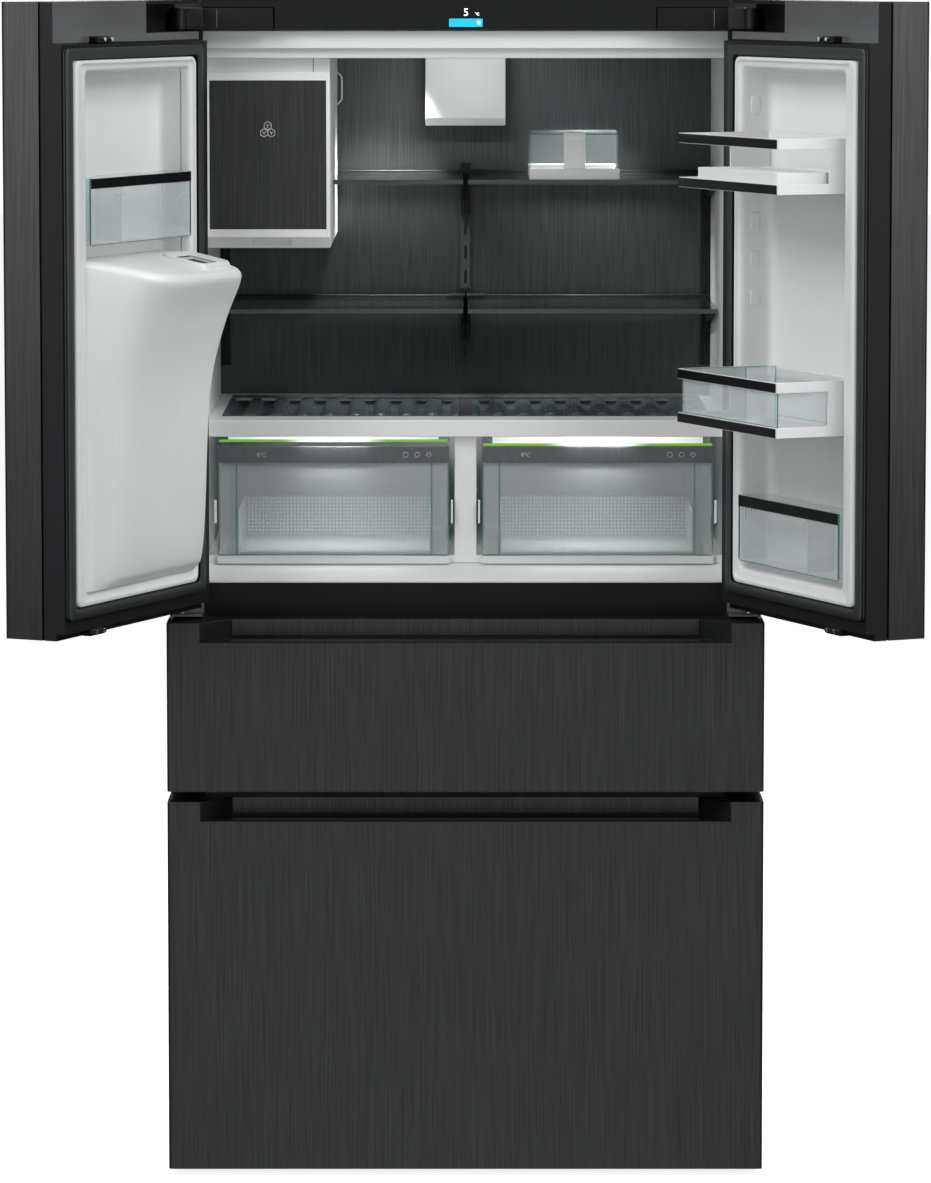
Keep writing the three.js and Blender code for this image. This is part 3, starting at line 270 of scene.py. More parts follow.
# Door gaskets: soft extruded PVC.
GASKET = moulded_plastic("extruded_gasket_pvc", "#2f3131", "#2a2c2c", 0.5, 1.5)
# Rubber of rollers, feet and the chute's seal.
RUBBER = moulded_plastic("moulded_black_rubber", "#18181a", "#121213", 0.75, 1.5)
# Black glass of the control panel: mirror gloss.
PANEL = moulded_plastic("black_control_glass", "#050506", "#040405", 0.08, 3.0, 1.52, 1.0)
# Rigid polyurethane foam, blown between case and liners.
FOAM = moulded_plastic("blown_polyurethane_foam", "#d8c78f", "#c9b67c", 0.9, 2.5)
# Smoked styrene of the bottle rack.
SMOKED = moulded_plastic("smoked_moulded_styrene", "#50595c", "#495255", 0.27, 2.0)
# Edge of a clear sheet, where light gathers: blue-green.
EDGE = moulded_plastic("bright_edge_of_clear_sheet", "#3f7573", "#568f8c", 0.15, 2.0)
# Pale edges of folds and hooks in clear mouldings.
PALE_EDGE = moulded_plastic("pale_fold_of_clear_sheet", "#c2cbcd", "#b9c2c5", 0.25, 2.0)
# Grey mark printed on metal.
PRINT = moulded_plastic("printed_grey_mark", "#d0d2d2", "#cacccc", 0.5, 1.0)
# Clear styrene of bins and drawers.
CLEAR = clear_plastic("clear_moulded_styrene", "#eef4f6", 0.04, 0.25)
# Thin clear lid over the butter dish: hardly veiled.
THIN_CLEAR = clear_plastic("clear_lid_styrene", "#c3cccd", 0.04, 0.16)
# Toughened glass of the shelves, faintly smoked.
GLASS = clear_plastic("smoked_shelf_glass", "#3a4142", 0.04, 0.24, 1.52)
# Frosted basket of the chill drawers, pressed with a fine diamond pattern.
BASKET = patterned_plastic("frosted_basket_styrene", "#5c6264", "#959b9c", 5.6)
# Lit figures and the lit button of the control panel.
LIT_WHITE = lamp_face("lit_white_figures", "#ffffff", 2.2)
LIT_BLUE = lamp_face("lit_blue_button", "#19aee0", 0.55)
# Green edge of the drawer lids, given a painted glow that washes out to a painted white highlight where the light
# stands over it.
GREEN_EDGE_PAINTED_GLOW = lit_edge("green_lid_edge_painted_glow", [(0.1, "#f6fbee"), (0.45, "#62a32a")], 0.75)
# The drawers' light itself, dimmer to its ends.
LIT_STRIP = lit_edge("lit_drawer_light", [(0.2, "#ffffff"), (1.0, "#a9acab")], 1.0)

SLOT_FINISH = {
    "brushed_dark_steel": DARK_STEEL, "case_paint": CASE, "rear_steel": REAR, "frame_plastic": FRAME,
    "gasket_rubber": GASKET, "white_plastic": WHITE, "black_plastic": BLACK, "control_glass": PANEL,
    "clear_plastic": CLEAR, "shelf_glass": GLASS, "bar_metal": BAR_METAL, "foam": FOAM,
    "black_rubber": RUBBER, "zinc_steel": ZINC, "black_enamel": ENAMEL,
}
# The slot that a fine piece takes its finish from, unless the piece names another.
FINISH_SLOT = {finish.name: slot for slot, finish in SLOT_FINISH.items()}
FINISH_SLOT.update({finish.name: "clear_plastic" for finish in
                    (THIN_CLEAR, EDGE, PALE_EDGE, BASKET, GREEN_EDGE_PAINTED_GLOW, LIT_STRIP)})
FINISH_SLOT.update({LINER_PAINTED_SHADE.name: "white_plastic", SMOKED.name: "white_plastic", TRIM.name: "black_plastic",
                    SHELF_TRIM.name: "black_plastic", CHROME.name: "zinc_steel", PRINT.name: "bar_metal",
                    LIT_WHITE.name: "control_glass", LIT_BLUE.name: "control_glass"})
NODE_SLOT = {entry["node"]: entry["material_slot"] for entry in frame["record"]["subparts"]}
NODE_BODY = {node: body for body, nodes in frame["record"]["behaviour"]["bodies"].items()
             for node in nodes}
for name, thing in frame["nodes"].items():
    finish = WALL_STEEL if name == "back_panel" else SLOT_FINISH[NODE_SLOT[name]]
    thing.data.materials.clear()
    thing.data.materials.append(finish)


# ---------------------------------------------------------------- places on the fridge
def mm_box(node):
    """A node's lowest and highest corners in millimetres, as two arrays."""
    low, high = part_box(node)
    return np.array(low) / MM, np.array(high) / MM


FRONT_LOW, FRONT_HIGH = mm_box("upper_drawer_skin")
FRONT = FRONT_LOW[1]  # plane of the closed fronts
HALF = FRONT_HIGH[0]  # half the fridge's width


def in_room(points):
    """Points given in the fridge's own millimetres, in metres."""
    return points * MM


def hinge_turn(word):
    """A door's pivot in millimetres, its side, and the angle it stands open at, about Z."""
    hinge = next(joint for joint in frame["joints"] if joint["name"] == word + "_door_hinge")
    turn = math.radians(-min(hinge["range_deg"]) * hinge["axis"][2])
    return np.array(hinge["pos_m"][:2]) / MM, 1 if word == "right" else -1, turn


def on_door(word):
    """Points on a door, as metres in the room.

    A point is (u, t, z): u from the hinge-side edge, t back from the outer face of the shut door.
    The shut door's point is turned about the pivot by the angle that the door stands open at.
    """
    pivot, side, turn = hinge_turn(word)
    cosine, sine = math.cos(turn), math.sin(turn)

    def place(points):
        across = side * (HALF - points[..., 0]) - pivot[0]
        through = FRONT + points[..., 1] - pivot[1]
        x = pivot[0] + cosine * across - sine * through
        y = pivot[1] + sine * across + cosine * through
        return np.stack([x, y, points[..., 2]], -1) * MM

    return place


def door_box(word, node):
    """A door node's lowest and highest (u, t, z) in millimetres: on_door run backwards."""
    pivot, side, turn = hinge_turn(word)
    cosine, sine = math.cos(turn), math.sin(turn)
    mesh = frame["nodes"][node].data
    flat = np.empty(len(mesh.vertices) * 3)
    mesh.vertices.foreach_get("co", flat)
    points = flat.reshape(-1, 3) / MM
    x, y = points[:, 0] - pivot[0], points[:, 1] - pivot[1]
    across = cosine * x + sine * y + pivot[0]
    through = -sine * x + cosine * y + pivot[1]
    local = np.stack([HALF - side * across, through - FRONT, points[:, 2]], -1)
    return local.min(0), local.max(0)


# ---------------------------------------------------------------- surfaces
def loft(sections, hoop=False):
    """Closed rings (n, k, 3) joined one to the next.

    Point (i, j) is point j of ring i, and face (i, j) spans rings i, i+1 and points j, j+1.
    The end rings are filled, or with hoop the last ring is joined to the first instead.
    """
    sections = np.asarray(sections, float)
    rings, count = sections.shape[:2]
    steps = rings if hoop else rings - 1
    i, j = np.meshgrid(np.arange(steps), np.arange(count), indexing="ij")
    after, beside = (i + 1) % rings, (j + 1) % count
    corners = [i * count + j, i * count + beside, after * count + beside, after * count + j]
    faces = np.stack(corners, -1).reshape(-1, 4).tolist()
    if not hoop:
        last = (rings - 1) * count
        faces += [np.arange(count)[::-1].tolist(), np.arange(last, last + count).tolist()]
    return sections.reshape(-1, 3), faces


def sheet(grid):
    """An open surface over a grid (n, k, 3), one face to each cell."""
    rows, columns = grid.shape[:2]
    i, j = np.meshgrid(np.arange(rows - 1), np.arange(columns - 1), indexing="ij")
    start = i * columns + j
    faces = np.stack([start, start + 1, start + columns + 1, start + columns], -1)
    return grid.reshape(-1, 3), faces.reshape(-1, 4).tolist()


def bars(*rows):
    """Straight bars from rows of six numbers: the rectangle x by y carried from z to z."""
    made = []
    for x, y, z in np.sort(np.reshape(rows, (-1, 3, 2)).astype(float), axis=2):
        ring = np.array([(x[0], y[0]), (x[1], y[0]), (x[1], y[1]), (x[0], y[1])])
        made.append(loft([np.insert(ring, 2, level, axis=1) for level in z]))
    return made


def carried(outline, axis, span):
    """An outline (k, 2) carried straight along one axis, 0, 1 or 2, over a span."""
    return loft([np.insert(np.asarray(outline, float), axis, at, axis=1) for at in span])


def soft_rectangle(low, high, radius, corner=6):
    """A rectangle with round corners of so many points each, anticlockwise.

    Each corner is a quarter circle of the radius, about a centre one radius in from both sides.
    """
    turns = np.arange(4)[:, None] * math.pi / 2 + np.linspace(0, math.pi / 2, corner)[None, :]
    (x0, y0), (x1, y1) = low, high
    centres = np.array([(x1, y1), (x0, y1), (x0, y0), (x1, y0)], float)
    inward = np.array([(-1, -1), (1, -1), (1, 1), (-1, 1)]) * radius
    arcs = np.stack([np.cos(turns), np.sin(turns)], -1) * radius
    return ((centres + inward)[:, None, :] + arcs).reshape(-1, 2)


def rings_at(levels, corner):
    """Soft rectangles in the door's u and z, one for each (u0, u1, z0, z1, radius, t)."""
    return np.array([np.insert(soft_rectangle((u0, z0), (u1, z1), radius, corner), 1, t, axis=1)
                     for u0, u1, z0, z1, radius, t in levels])


def hoop_band(x, y, z, wall, radius=3.0):
    """A band that runs round a rectangle: its wall's four corners carried round a soft outline."""
    outer = soft_rectangle((x[0], y[0]), (x[1], y[1]), radius, 4)
    inner = soft_rectangle((x[0] + wall, y[0] + wall), (x[1] - wall, y[1] - wall),
                           max(radius - wall, 0.4), 4)
    levels = [(outer, z[0]), (outer, z[1]), (inner, z[1]), (inner, z[0])]
    return loft([np.insert(ring, 2, at, axis=1) for ring, at in levels], hoop=True)


def tub(x, y, z, wall, radius):
    """An open tub: soft rectangles up the outside, over the rim and down the inside to its floor."""
    (x0, x1), (y0, y1) = sorted(x), y
    outer = soft_rectangle((x0, y0), (x1, y1), radius)
    inner = soft_rectangle((x0 + wall, y0 + wall), (x1 - wall, y1 - wall), max(radius - wall, 0.8))
    levels = [(outer, z[0]), (outer, z[1]), (inner, z[1]), (inner, z[0] + wall)]
    return loft([np.insert(ring, 2, at, axis=1) for ring, at in levels])


def tube(path, radius, sides=12):
    """A round bar: a circle carried along a path, square to it, with flat ends."""
    path = np.asarray(path, float)
    ahead = np.gradient(path, axis=0)
    ahead /= np.linalg.norm(ahead, axis=1, keepdims=True)
    helper = np.array([0.137, 0.211, 0.968])  # a direction that no path here runs along
    across = np.cross(ahead, helper)
    across /= np.linalg.norm(across, axis=1, keepdims=True)
    up = np.cross(across, ahead)
    turns = np.linspace(0, 2 * math.pi, sides, endpoint=False)
    ring = (np.cos(turns)[None, :, None] * across[:, None, :]
            + np.sin(turns)[None, :, None] * up[:, None, :])
    return loft(path[:, None, :] + radius * ring)


def softened(points, rounds):
    """A path whose corners are cut at a quarter and three quarters of each side, several times."""
    points = np.asarray(points, float)
    for _ in range(rounds):
        near = 0.75 * points[:-1] + 0.25 * points[1:]
        far = 0.25 * points[:-1] + 0.75 * points[1:]
        between = np.stack([near, far], 1).reshape(-1, points.shape[1])
        points = np.concatenate([points[:1], between, points[-1:]])
    return points


def even(points, count):
    """A path laid out again as points at equal steps of its length."""
    steps = np.linalg.norm(np.diff(points, axis=0), axis=1)
    along = np.r_[0, np.cumsum(steps)]
    wanted = np.linspace(0, along[-1], count)
    return np.stack([np.interp(wanted, along, column) for column in points.T], -1)


# ---------------------------------------------------------------- how a piece is made
def piece(name, shells, body, finish, slot=None, bevel=0.0, wall=0.0, replaces=(), smooth_deg=35):
    """A finished piece from shells of points and faces, put on its body and given its finish.

    bevel rounds its edges by that many millimetres, and wall gives an open surface that thickness.
    Its slot, given or the one that goes with its finish, is worked out but not used.
    """
    slot = slot or FINISH_SLOT[finish.name]
    points, faces, start = [], [], 0
    for shell_points, shell_faces in shells:
        points.append(shell_points)
        faces += [[start + corner for corner in face] for face in shell_faces]
        start += len(shell_points)
    place = on_door(body[:-len("_door")]) if body.endswith("_door") else in_room
    mesh = bpy.data.meshes.new(name)
    mesh.from_pydata(place(np.concatenate(points)).tolist(), [], faces)
    dress(mesh, not wall, smooth_deg)
    mesh.materials.append(finish)
    thing = bpy.data.objects.new(name, mesh)
    scene.collection.objects.link(thing)
    if wall:
        solidify = thing.modifiers.new("wall", "SOLIDIFY")
        solidify.thickness = wall * MM
        solidify.offset = -1
    round_edges(thing, bevel)
    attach(thing, body)
    if replaces:
        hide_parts(*replaces)


def bar_piece(name, body, finish, bevel, *rows, **more):
    """A piece made of straight bars, from rows of six numbers."""
    piece(name, bars(*rows), body, finish, bevel=bevel, **more)


def dress(mesh, recalculate, smooth_deg):
    """Doubles merged, a closed shape's faces turned outwards, and shading smooth up to an angle."""
    work = bmesh.new()
    work.from_mesh(mesh)
    bmesh.ops.remove_doubles(work, verts=work.verts, dist=1e-6)
    if recalculate:
        bmesh.ops.recalc_face_normals(work, faces=work.faces)
    for face in work.faces:
        face.smooth = True
    work.to_mesh(mesh)
    work.free()
    mesh.set_sharp_from_angle(angle=math.radians(smooth_deg))


def round_edges(thing, size_mm):
    """Edges rounded by a bevel of a given size."""
    if size_mm:
        bevel = thing.modifiers.new("edges", "BEVEL")
        bevel.width = size_mm * MM
        bevel.segments = 2
        bevel.limit_method = "ANGLE"
        bevel.angle_limit = math.radians(35)
        bevel.harden_normals = True


def finished(node, finish, bevel):
    """A copy of a CAD node's mesh, merged, its flat faces made whole and its edges rounded."""
    mesh = frame["nodes"][node].data.copy()
    work = bmesh.new()
    work.from_mesh(mesh)
    bmesh.ops.remove_doubles(work, verts=work.verts, dist=2e-6)
    bmesh.ops.dissolve_limit(work, angle_limit=math.radians(0.5), verts=work.verts, edges=work.edges)
    work.to_mesh(mesh)
    work.free()
    dress(mesh, False, 35)
    mesh.materials.clear()
    mesh.materials.append(finish)
    thing = bpy.data.objects.new(node + "_finished", mesh)
    scene.collection.objects.link(thing)
    round_edges(thing, bevel)
    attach(thing, NODE_BODY[node])
    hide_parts(node)


def lettering(name, text, height, where, body, finish):
    """Flat figures that face the front: a text outline, filled, scaled to a height and placed."""
    curve = bpy.data.curves.new(name, "FONT")
    curve.body = text
    curve.size = height * MM / 0.7  # its figures stand 0.7 of its size high
    curve.extrude = 0.00008
    curve.align_x = "CENTER"
    holder = bpy.data.objects.new(name + "_outline", curve)
    scene.collection.objects.link(holder)
    bpy.context.view_layer.update()
    shape = bpy.data.meshes.new_from_object(holder)
    bpy.data.objects.remove(holder)
    flat = np.empty(len(shape.vertices) * 3)
    shape.vertices.foreach_get("co", flat)
    local = flat.reshape(-1, 3)
    faces = [list(polygon.vertices) for polygon in shape.polygons]
    points = np.stack([local[:, 0], -local[:, 2], local[:, 1]], -1) / MM + np.asarray(where)
    piece(name, [(points, faces)], body, finish)


# ---------------------------------------------------------------- CAD shapes with their edges rounded
# Millimetres that the edges are rounded by, and the nodes.
ROUNDED = {
    1.5: "ice_maker_housing chill_cover",
    1.2: "duct_cover butter_dish",
    1.0: "crossbar fridge_liner upper_drawer_tub lower_drawer_tub",
    0.8: "cabinet_shell freezer_liner left_top_hinge right_top_hinge left_front_foot right_front_foot "
         "left_roller right_roller left_door_frame right_door_frame upper_drawer_core lower_drawer_core",
    0.6: "control_panel left_lower_hinge right_lower_hinge left_chill_front right_chill_front "
         "dispenser_recess dispenser_paddle",
    0.5: "ice_bin drip_tray",
    0.4: "rear_panel back_panel upper_drawer_slides lower_drawer_slides",
    0.3: "left_shelf_rail centre_shelf_rail right_shelf_rail",
    0.0: "left_door_skin right_door_skin upper_drawer_skin lower_drawer_skin compressor insulation",
}
# The fresh-food liner's white is greyed as painted shade.
OTHER_FINISH = {
    "back_panel": WALL_STEEL, "fridge_liner": LINER_PAINTED_SHADE, "upper_drawer_core": BLACK, "lower_drawer_core": BLACK,
    "left_shelf_rail": BLACK, "centre_shelf_rail": RAIL, "right_shelf_rail": BLACK,
}
for bevel, nodes in ROUNDED.items():
    for node in nodes.split():
        finished(node, OTHER_FINISH.get(node, SLOT_FINISH[NODE_SLOT[node]]), bevel)


# ---------------------------------------------------------------- door mouldings
RIM_LOW, RIM_HIGH = door_box("right", "right_door_liner")
RACK_LOW, RACK_HIGH = door_box("right", "right_door_upper_rack")
POCKET_FLOOR = 57
POCKET_LOW = np.array([RACK_LOW[0] - 0.4, POCKET_FLOOR, RIM_LOW[2] + 22])
POCKET_HIGH = np.array([RACK_HIGH[0] + 0.4, POCKET_FLOOR, RIM_HIGH[2] - 17])
SEAT_DEPTH = RIM_LOW[1]  # back of the moulding, sunk in the door


def rim_level(share, t, deeper=0.0):
    """A ring between the rim's outline (share 0) and the pocket's (share 1), then further in."""
    low = RIM_LOW + share * (POCKET_LOW - RIM_LOW) + deeper
    high = RIM_HIGH + share * (POCKET_HIGH - RIM_HIGH) - deeper
    return (low[0], high[0], low[2], high[2], 12 - 3 * share + 0.6 * deeper, t)


# Share of the way in and depth of each ring of the rim's profile: two soft steps, then the wall.
RIM_PROFILE = [(0.0, 99), (0.0, 109.4), (0.02, 111), (0.06, 112), (0.26, 112), (0.3, 111.4),
               (0.34, 109.4), (0.38, 108.6), (0.7, 108), (0.82, 107), (0.92, 104.4), (0.98, 100), (1.0, 94)]
POCKET_PROFILE = [(0.0, 67), (0.9, 62.5), (3.2, 59.2), (6.4, 57.4), (10.0, 57)]


def right_liner():
    """Rings of soft rectangles: the seat's back, the stepped rim, the pocket's wall and its floor."""
    levels = [rim_level(0.0, SEAT_DEPTH)] + [rim_level(share, t) for share, t in RIM_PROFILE]
    levels += [rim_level(1.0, t, deeper) for deeper, t in POCKET_PROFILE]
    return loft(rings_at(levels, 8))


def wall_pad(u, t, z, rise):
    """A low pad on the pocket's hinge-side wall: soft rectangles in t and z that draw in as u rises."""
    levels = [(0.0, u - 0.6), (0.0, u + 0.4 * rise), (0.8, u + 0.9 * rise), (2.2, u + rise)]
    return loft([np.insert(soft_rectangle((t[0] + d, z[0] + d), (t[1] - d, z[1] - d), 4.5 - 0.5 * d), 0,
                           at, axis=1) for d, at in levels])


PAD_HEIGHTS = [(1628, 1656), (1453, 1481), (1397, 1422), (1339, 1363)]
PAD_DEPTHS = (76, 92)
pads = [wall_pad(POCKET_LOW[0], PAD_DEPTHS, heights, 1.4) for heights in PAD_HEIGHTS]
piece("right_liner_moulding", [right_liner(), *pads], "right_door", WHITE, replaces=["right_door_liner"],
      smooth_deg=60)


CHUTE_LOW, CHUTE_HIGH = door_box("left", "ice_chute")
RECESS_HIGH = door_box("left", "dispenser_recess")[1]
HOUSING_TOP = RECESS_HIGH[2] + 61  # where its top leaves the door's plane
TOP_SLOPE = 0.27
COLLAR_LOW = CHUTE_LOW[:2] + (-8.5, 9.5)
COLLAR_HIGH = CHUTE_HIGH[:2] - (6.5, 8.5)
SLOT_LOW = COLLAR_LOW + (27, 16)
SLOT_HIGH = COLLAR_HIGH - (8, 3)  # the slot that the ice falls through


def housing_top(t):
    """Height of the housing's top: level over the pocket, then falling away past the rim."""
    return HOUSING_TOP - np.maximum(t - RIM_HIGH[1], 0) * TOP_SLOPE


def left_rim():
    """The rim's rings alone, closed on themselves as a hoop, so the dispenser can pass through."""
    profile = RIM_PROFILE + [(1.0, 92), (0.9, 92)]
    return loft(rings_at([rim_level(share, t) for share, t in profile], 8), hoop=True)


def left_pocket():
    """The pocket above the dispenser: rings down its wall, round to its floor, and out to its back."""
    levels = [rim_level(1.0, 96)] + [rim_level(1.0, t, deeper) for deeper, t in POCKET_PROFILE]
    outer = [rim_level(0.93, SEAT_DEPTH), rim_level(0.93, 96)]
    cut = HOUSING_TOP - 45
    lifted = [(u0, u1, max(z0, cut + (z0 - POCKET_LOW[2])), z1, r, t)
              for u0, u1, z0, z1, r, t in outer + levels]
    return loft(rings_at(lifted, 8))


def housing():
    """The dispenser housing as one surface over (height, way round).

    Way round follows a softened plan from the pocket's hinge-side wall, out to the nose and down to
    the rim's free side. On the hinge side its depth is the softer minimum of that plan and of a front
    profile that falls back below the nose: min(a, b) - r log(1 + exp(-|a - b| / r)). On the free side
    it is the plan itself, drawn in by the profile's share.
    Height runs from the foot, up the side, round the top edge, and in over the sloping top.
    """
    near, far, rim = POCKET_LOW[0], POCKET_HIGH[0], RIM_HIGH[1]
    base, nose = SEAT_DEPTH + 4, RIM_HIGH[1] + 92
    plan = [(near - 1, base), (near - 1, rim + 38), (near + 5, nose - 12), (near + 19, nose + 2),
            (near + 37, nose + 7), (far - 101, nose + 6), (far - 56, nose - 18), (far - 21, rim + 23),
            (far + 6, rim + 2), (far + 16, rim - 5), (far + 16, base)]
    round_plan = even(softened(plan, 4), 110)
    foot, top = POCKET_LOW[2], HOUSING_TOP
    profile = [(foot, rim - 2), (foot + 19, rim + 15), (top - 226, rim + 23), (top - 170, rim + 33),
               (top - 125, rim + 46), (top - 79, rim + 64), (top - 43, rim + 86), (top + 20, rim + 121)]
    front = even(softened(profile, 4), 300)
    softness, edge = 3.0, 9.0  # r above, and the top edge's radius
    u, t_plan = round_plan.T
    along = np.gradient(round_plan, axis=0)
    inward = np.stack([along[:, 1], -along[:, 0]], -1)
    inward /= np.linalg.norm(inward, axis=1, keepdims=True)
    inward *= np.sign(((np.array([near + 150, base]) - round_plan) * inward).sum(1, keepdims=True))

    free_side = np.clip((u - near - 80) / 150, 0, 1)
    free_side = free_side * free_side * (3 - 2 * free_side)

    def depth_at(z):
        """How far out the housing's side stands at a height, all the way round."""
        t_front = np.interp(z, front[:, 0], front[:, 1])
        apart = np.abs(t_front - t_plan)
        flat = np.minimum(t_front, t_plan) - softness * np.log1p(np.exp(-apart / softness))
        scaled = rim + (t_plan - rim) * np.clip((t_front - rim + 2) / (nose + 6 - rim), 0, 1)
        return np.maximum(flat + free_side * (np.minimum(scaled, t_plan) - flat), base)

    depth_top = depth_at(np.full_like(u, top - 50))
    for _ in range(6):
        depth_top = 0.5 * depth_top + 0.5 * depth_at(housing_top(depth_top) - edge)
    rise = housing_top(depth_top) - edge - foot
    shares = np.r_[np.linspace(0, 0.06, 12), np.linspace(0.06, 0.8, 26)[1:], np.linspace(0.8, 1, 16)[1:]]
    rows = [np.stack([u, np.full_like(u, base), np.full_like(u, foot)], -1)]
    for share in shares:  # up the side
        z = foot + share * rise
        rows.append(np.stack([u, depth_at(z), z], -1))
    for turn in np.linspace(0, math.pi / 2, 8)[1:]:  # round the top edge
        pull = edge * (1 - math.cos(turn))
        t, side = np.maximum(depth_top + inward[:, 1] * pull, base), u + inward[:, 0] * pull
        rows.append(np.stack([side, t, housing_top(t) - edge * (1 - math.sin(turn))], -1))
    last = rows[-1]
    for share in np.linspace(1, 0, 12)[1:]:  # in over the top
        t = base + (last[:, 1] - base) * share
        rows.append(np.stack([last[:, 0], t, housing_top(t)], -1))
    points, faces = sheet(np.array(rows))
    centres = points[np.array(faces)].mean(axis=1)
    aside = np.abs(centres[:, :2] - (COLLAR_LOW + COLLAR_HIGH) / 2)
    covered = (aside < (COLLAR_HIGH - COLLAR_LOW) / 2 - 7).all(1) & (centres[:, 2] > top - 40)
    return points, [face for face, under in zip(faces, covered) if not under]


piece("left_liner_rim", [left_rim(), left_pocket()], "left_door", WHITE, smooth_deg=60,
      replaces=["left_door_liner"])
piece("dispenser_housing", [housing()], "left_door", WHITE, wall=2.5, smooth_deg=70,
      replaces=["left_door_liner"])


def chute_ring(levels):
    """Soft rectangles from the collar's outline (share 0) to its slot's (share 1) and further in.

    They stand off the lip's own plane, which falls to the nose less steeply than the housing's top.
    """
    rings = []
    for share, inset, rise in levels:
        low = COLLAR_LOW + share * (SLOT_LOW - COLLAR_LOW) + inset
        high = COLLAR_HIGH + share * (SLOT_HIGH - COLLAR_HIGH) - inset
        ring = soft_rectangle(low, high, max(13 - 7 * share - 0.6 * inset, 1.5), 8)
        rings.append(np.c_[ring, HOUSING_TOP - 2.9 - 0.2 * (ring[:, 1] - RIM_HIGH[1] - 41) + rise])
    return rings


# Each ring's share of the way in, how much further in it stands, and its height over the lip's plane.
COLLAR = [(0, -3, -32), (0, -2, -9), (0, -0.7, -4), (0, 0, -1.8), (0, 1.2, -0.4), (0, 3, 0),
          (0.06, 3, 0), (0.9, 0, -1.8), (0.98, 0, -2.2), (1, 0, -3), (1, 0.3, -32)]
SEAL = [(1, 0.4, -16), (1, 0.4, -2.8), (1, 0.8, -2.6), (1, 4.6, -3), (1, 5, -3.4), (1, 5, -16)]
INNER_LIP = [(1, 5.2, -16), (1, 5.2, -3), (1, 5.8, -2.8), (1, 6.6, -2.8), (1, 7, -3.2), (1, 7, -16)]
for name, levels, finish in (("chute_collar", COLLAR, WHITE), ("chute_seal", SEAL, RUBBER),
                             ("chute_inner_lip", INNER_LIP, PALE_EDGE)):
    piece(name, [loft(chute_ring(levels), hoop=True)], "left_door", finish, slot="white_plastic",
          smooth_deg=60, replaces=["ice_chute"] if levels is COLLAR else ())
piece("chute_flap", [loft(chute_ring([(1, 7.4, -20), (1, 7.4, -6)]))], "left_door", RUBBER,
      slot="black_plastic", bevel=0.8)


def gasket_hoop(word):
    """The seal's folded profile carried round the door: a base, a waist and a soft magnetic lip."""
    low, high = door_box(word, word + "_door_gasket")
    profile = [(1, 0), (1, 2.5), (3, 3.4), (3, 4.6), (0.4, 5.6), (0, 7.4), (1.2, 9), (14.6, 9), (15.8, 7.6),
               (15.4, 5.8), (12.8, 4.6), (12.8, 3.2), (14.8, 2.4), (14.8, 0)]
    levels = [(low[0] + d, high[0] - d, low[2] + d, high[2] - d, 6 + 0.2 * d, low[1] + rise)
              for d, rise in profile]
    return loft(rings_at(levels, 5), hoop=True)


for word in ("left", "right"):
    piece(word + "_gasket_seal", [gasket_hoop(word)], word + "_door", GASKET,
          replaces=[word + "_door_gasket"], smooth_deg=50)


# ---------------------------------------------------------------- door bins and racks
def door_bin(word, node, band):
    """A clear bin: the tub, its black front strip, bright edges, side hooks and a divider."""
    body = word + "_door"
    (u0, t0, z0), (u1, t1, z1) = door_box(word, node)
    piece(node + "_tub", [tub((u0, u1), (t0, t1 - 1), (z0, z1), 2.4, 5)], body, CLEAR,
          replaces=[node], smooth_deg=50)
    bar_piece(node + "_strip", body, TRIM, 0.5, (u0 + 1.5, u1 - 1.5, t1 - 1, t1 + 0.6, z1 - band, z1 - 0.4))
    bar_piece(node + "_edges", body, EDGE, 0.3,
              (u0 + 2, u1 - 2, t1 - 1.4, t1 - 0.2, z0, z0 + 1.3),
              (u0 + 0.3, u0 + 1.4, t1 - 3, t1 - 0.4, z0 + 2, z1),
              (u1 - 1.4, u1 - 0.3, t1 - 3, t1 - 0.4, z0 + 2, z1))
    at, clip_z = u0 + 0.68 * (u1 - u0), z1 - 40
    divider = bars((at, at + 1.6, t0 + 2.6, t1 - 3.6, z0 + 2.5, z1 - 8),
                   (at - 14, at + 1.6, t1 - 5.2, t1 - 3.6, z1 - 27, z1 - 24))
    folds = bars((at - 0.2, at + 1.8, t1 - 4.2, t1 - 3.2, z0 + 4, z1 - 24),
                 (at + 17, at + 18, t1 - 4.2, t1 - 3.4, z0 + 4, z1 - 30),
                 (at, at + 18, t1 - 4.2, t1 - 3.2, z1 - 25.4, z1 - 24))
    for clip in (u0 + 14, u0 + 32):
        divider += bars((clip, clip + 1.4, t1 - 8, t1 - 3.6, clip_z, z1 - band),
                        (clip, clip + 8, t1 - 5, t1 - 3.6, clip_z - 1.4, clip_z))
        folds += bars((clip, clip + 1, t1 - 4, t1 - 3, clip_z, z1 - band),
                      (clip, clip + 9, t1 - 4, t1 - 3, clip_z - 1, clip_z),
                      (clip + 8, clip + 9, t1 - 4, t1 - 3, clip_z, z1 - band))
    piece(node + "_divider", divider, body, CLEAR, bevel=0.3)
    piece(node + "_folds", folds, body, PALE_EDGE, bevel=0.2)


door_bin("left", "left_door_bin", 15)
door_bin("right", "right_door_bin", 17)


def rack_box(node):
    """A rack's lowest and highest corners, as high as the upper rack whatever stands in it."""
    low, high = door_box("right", node)
    return low, np.array([high[0], high[1], low[2] + RACK_HIGH[2] - RACK_LOW[2]])


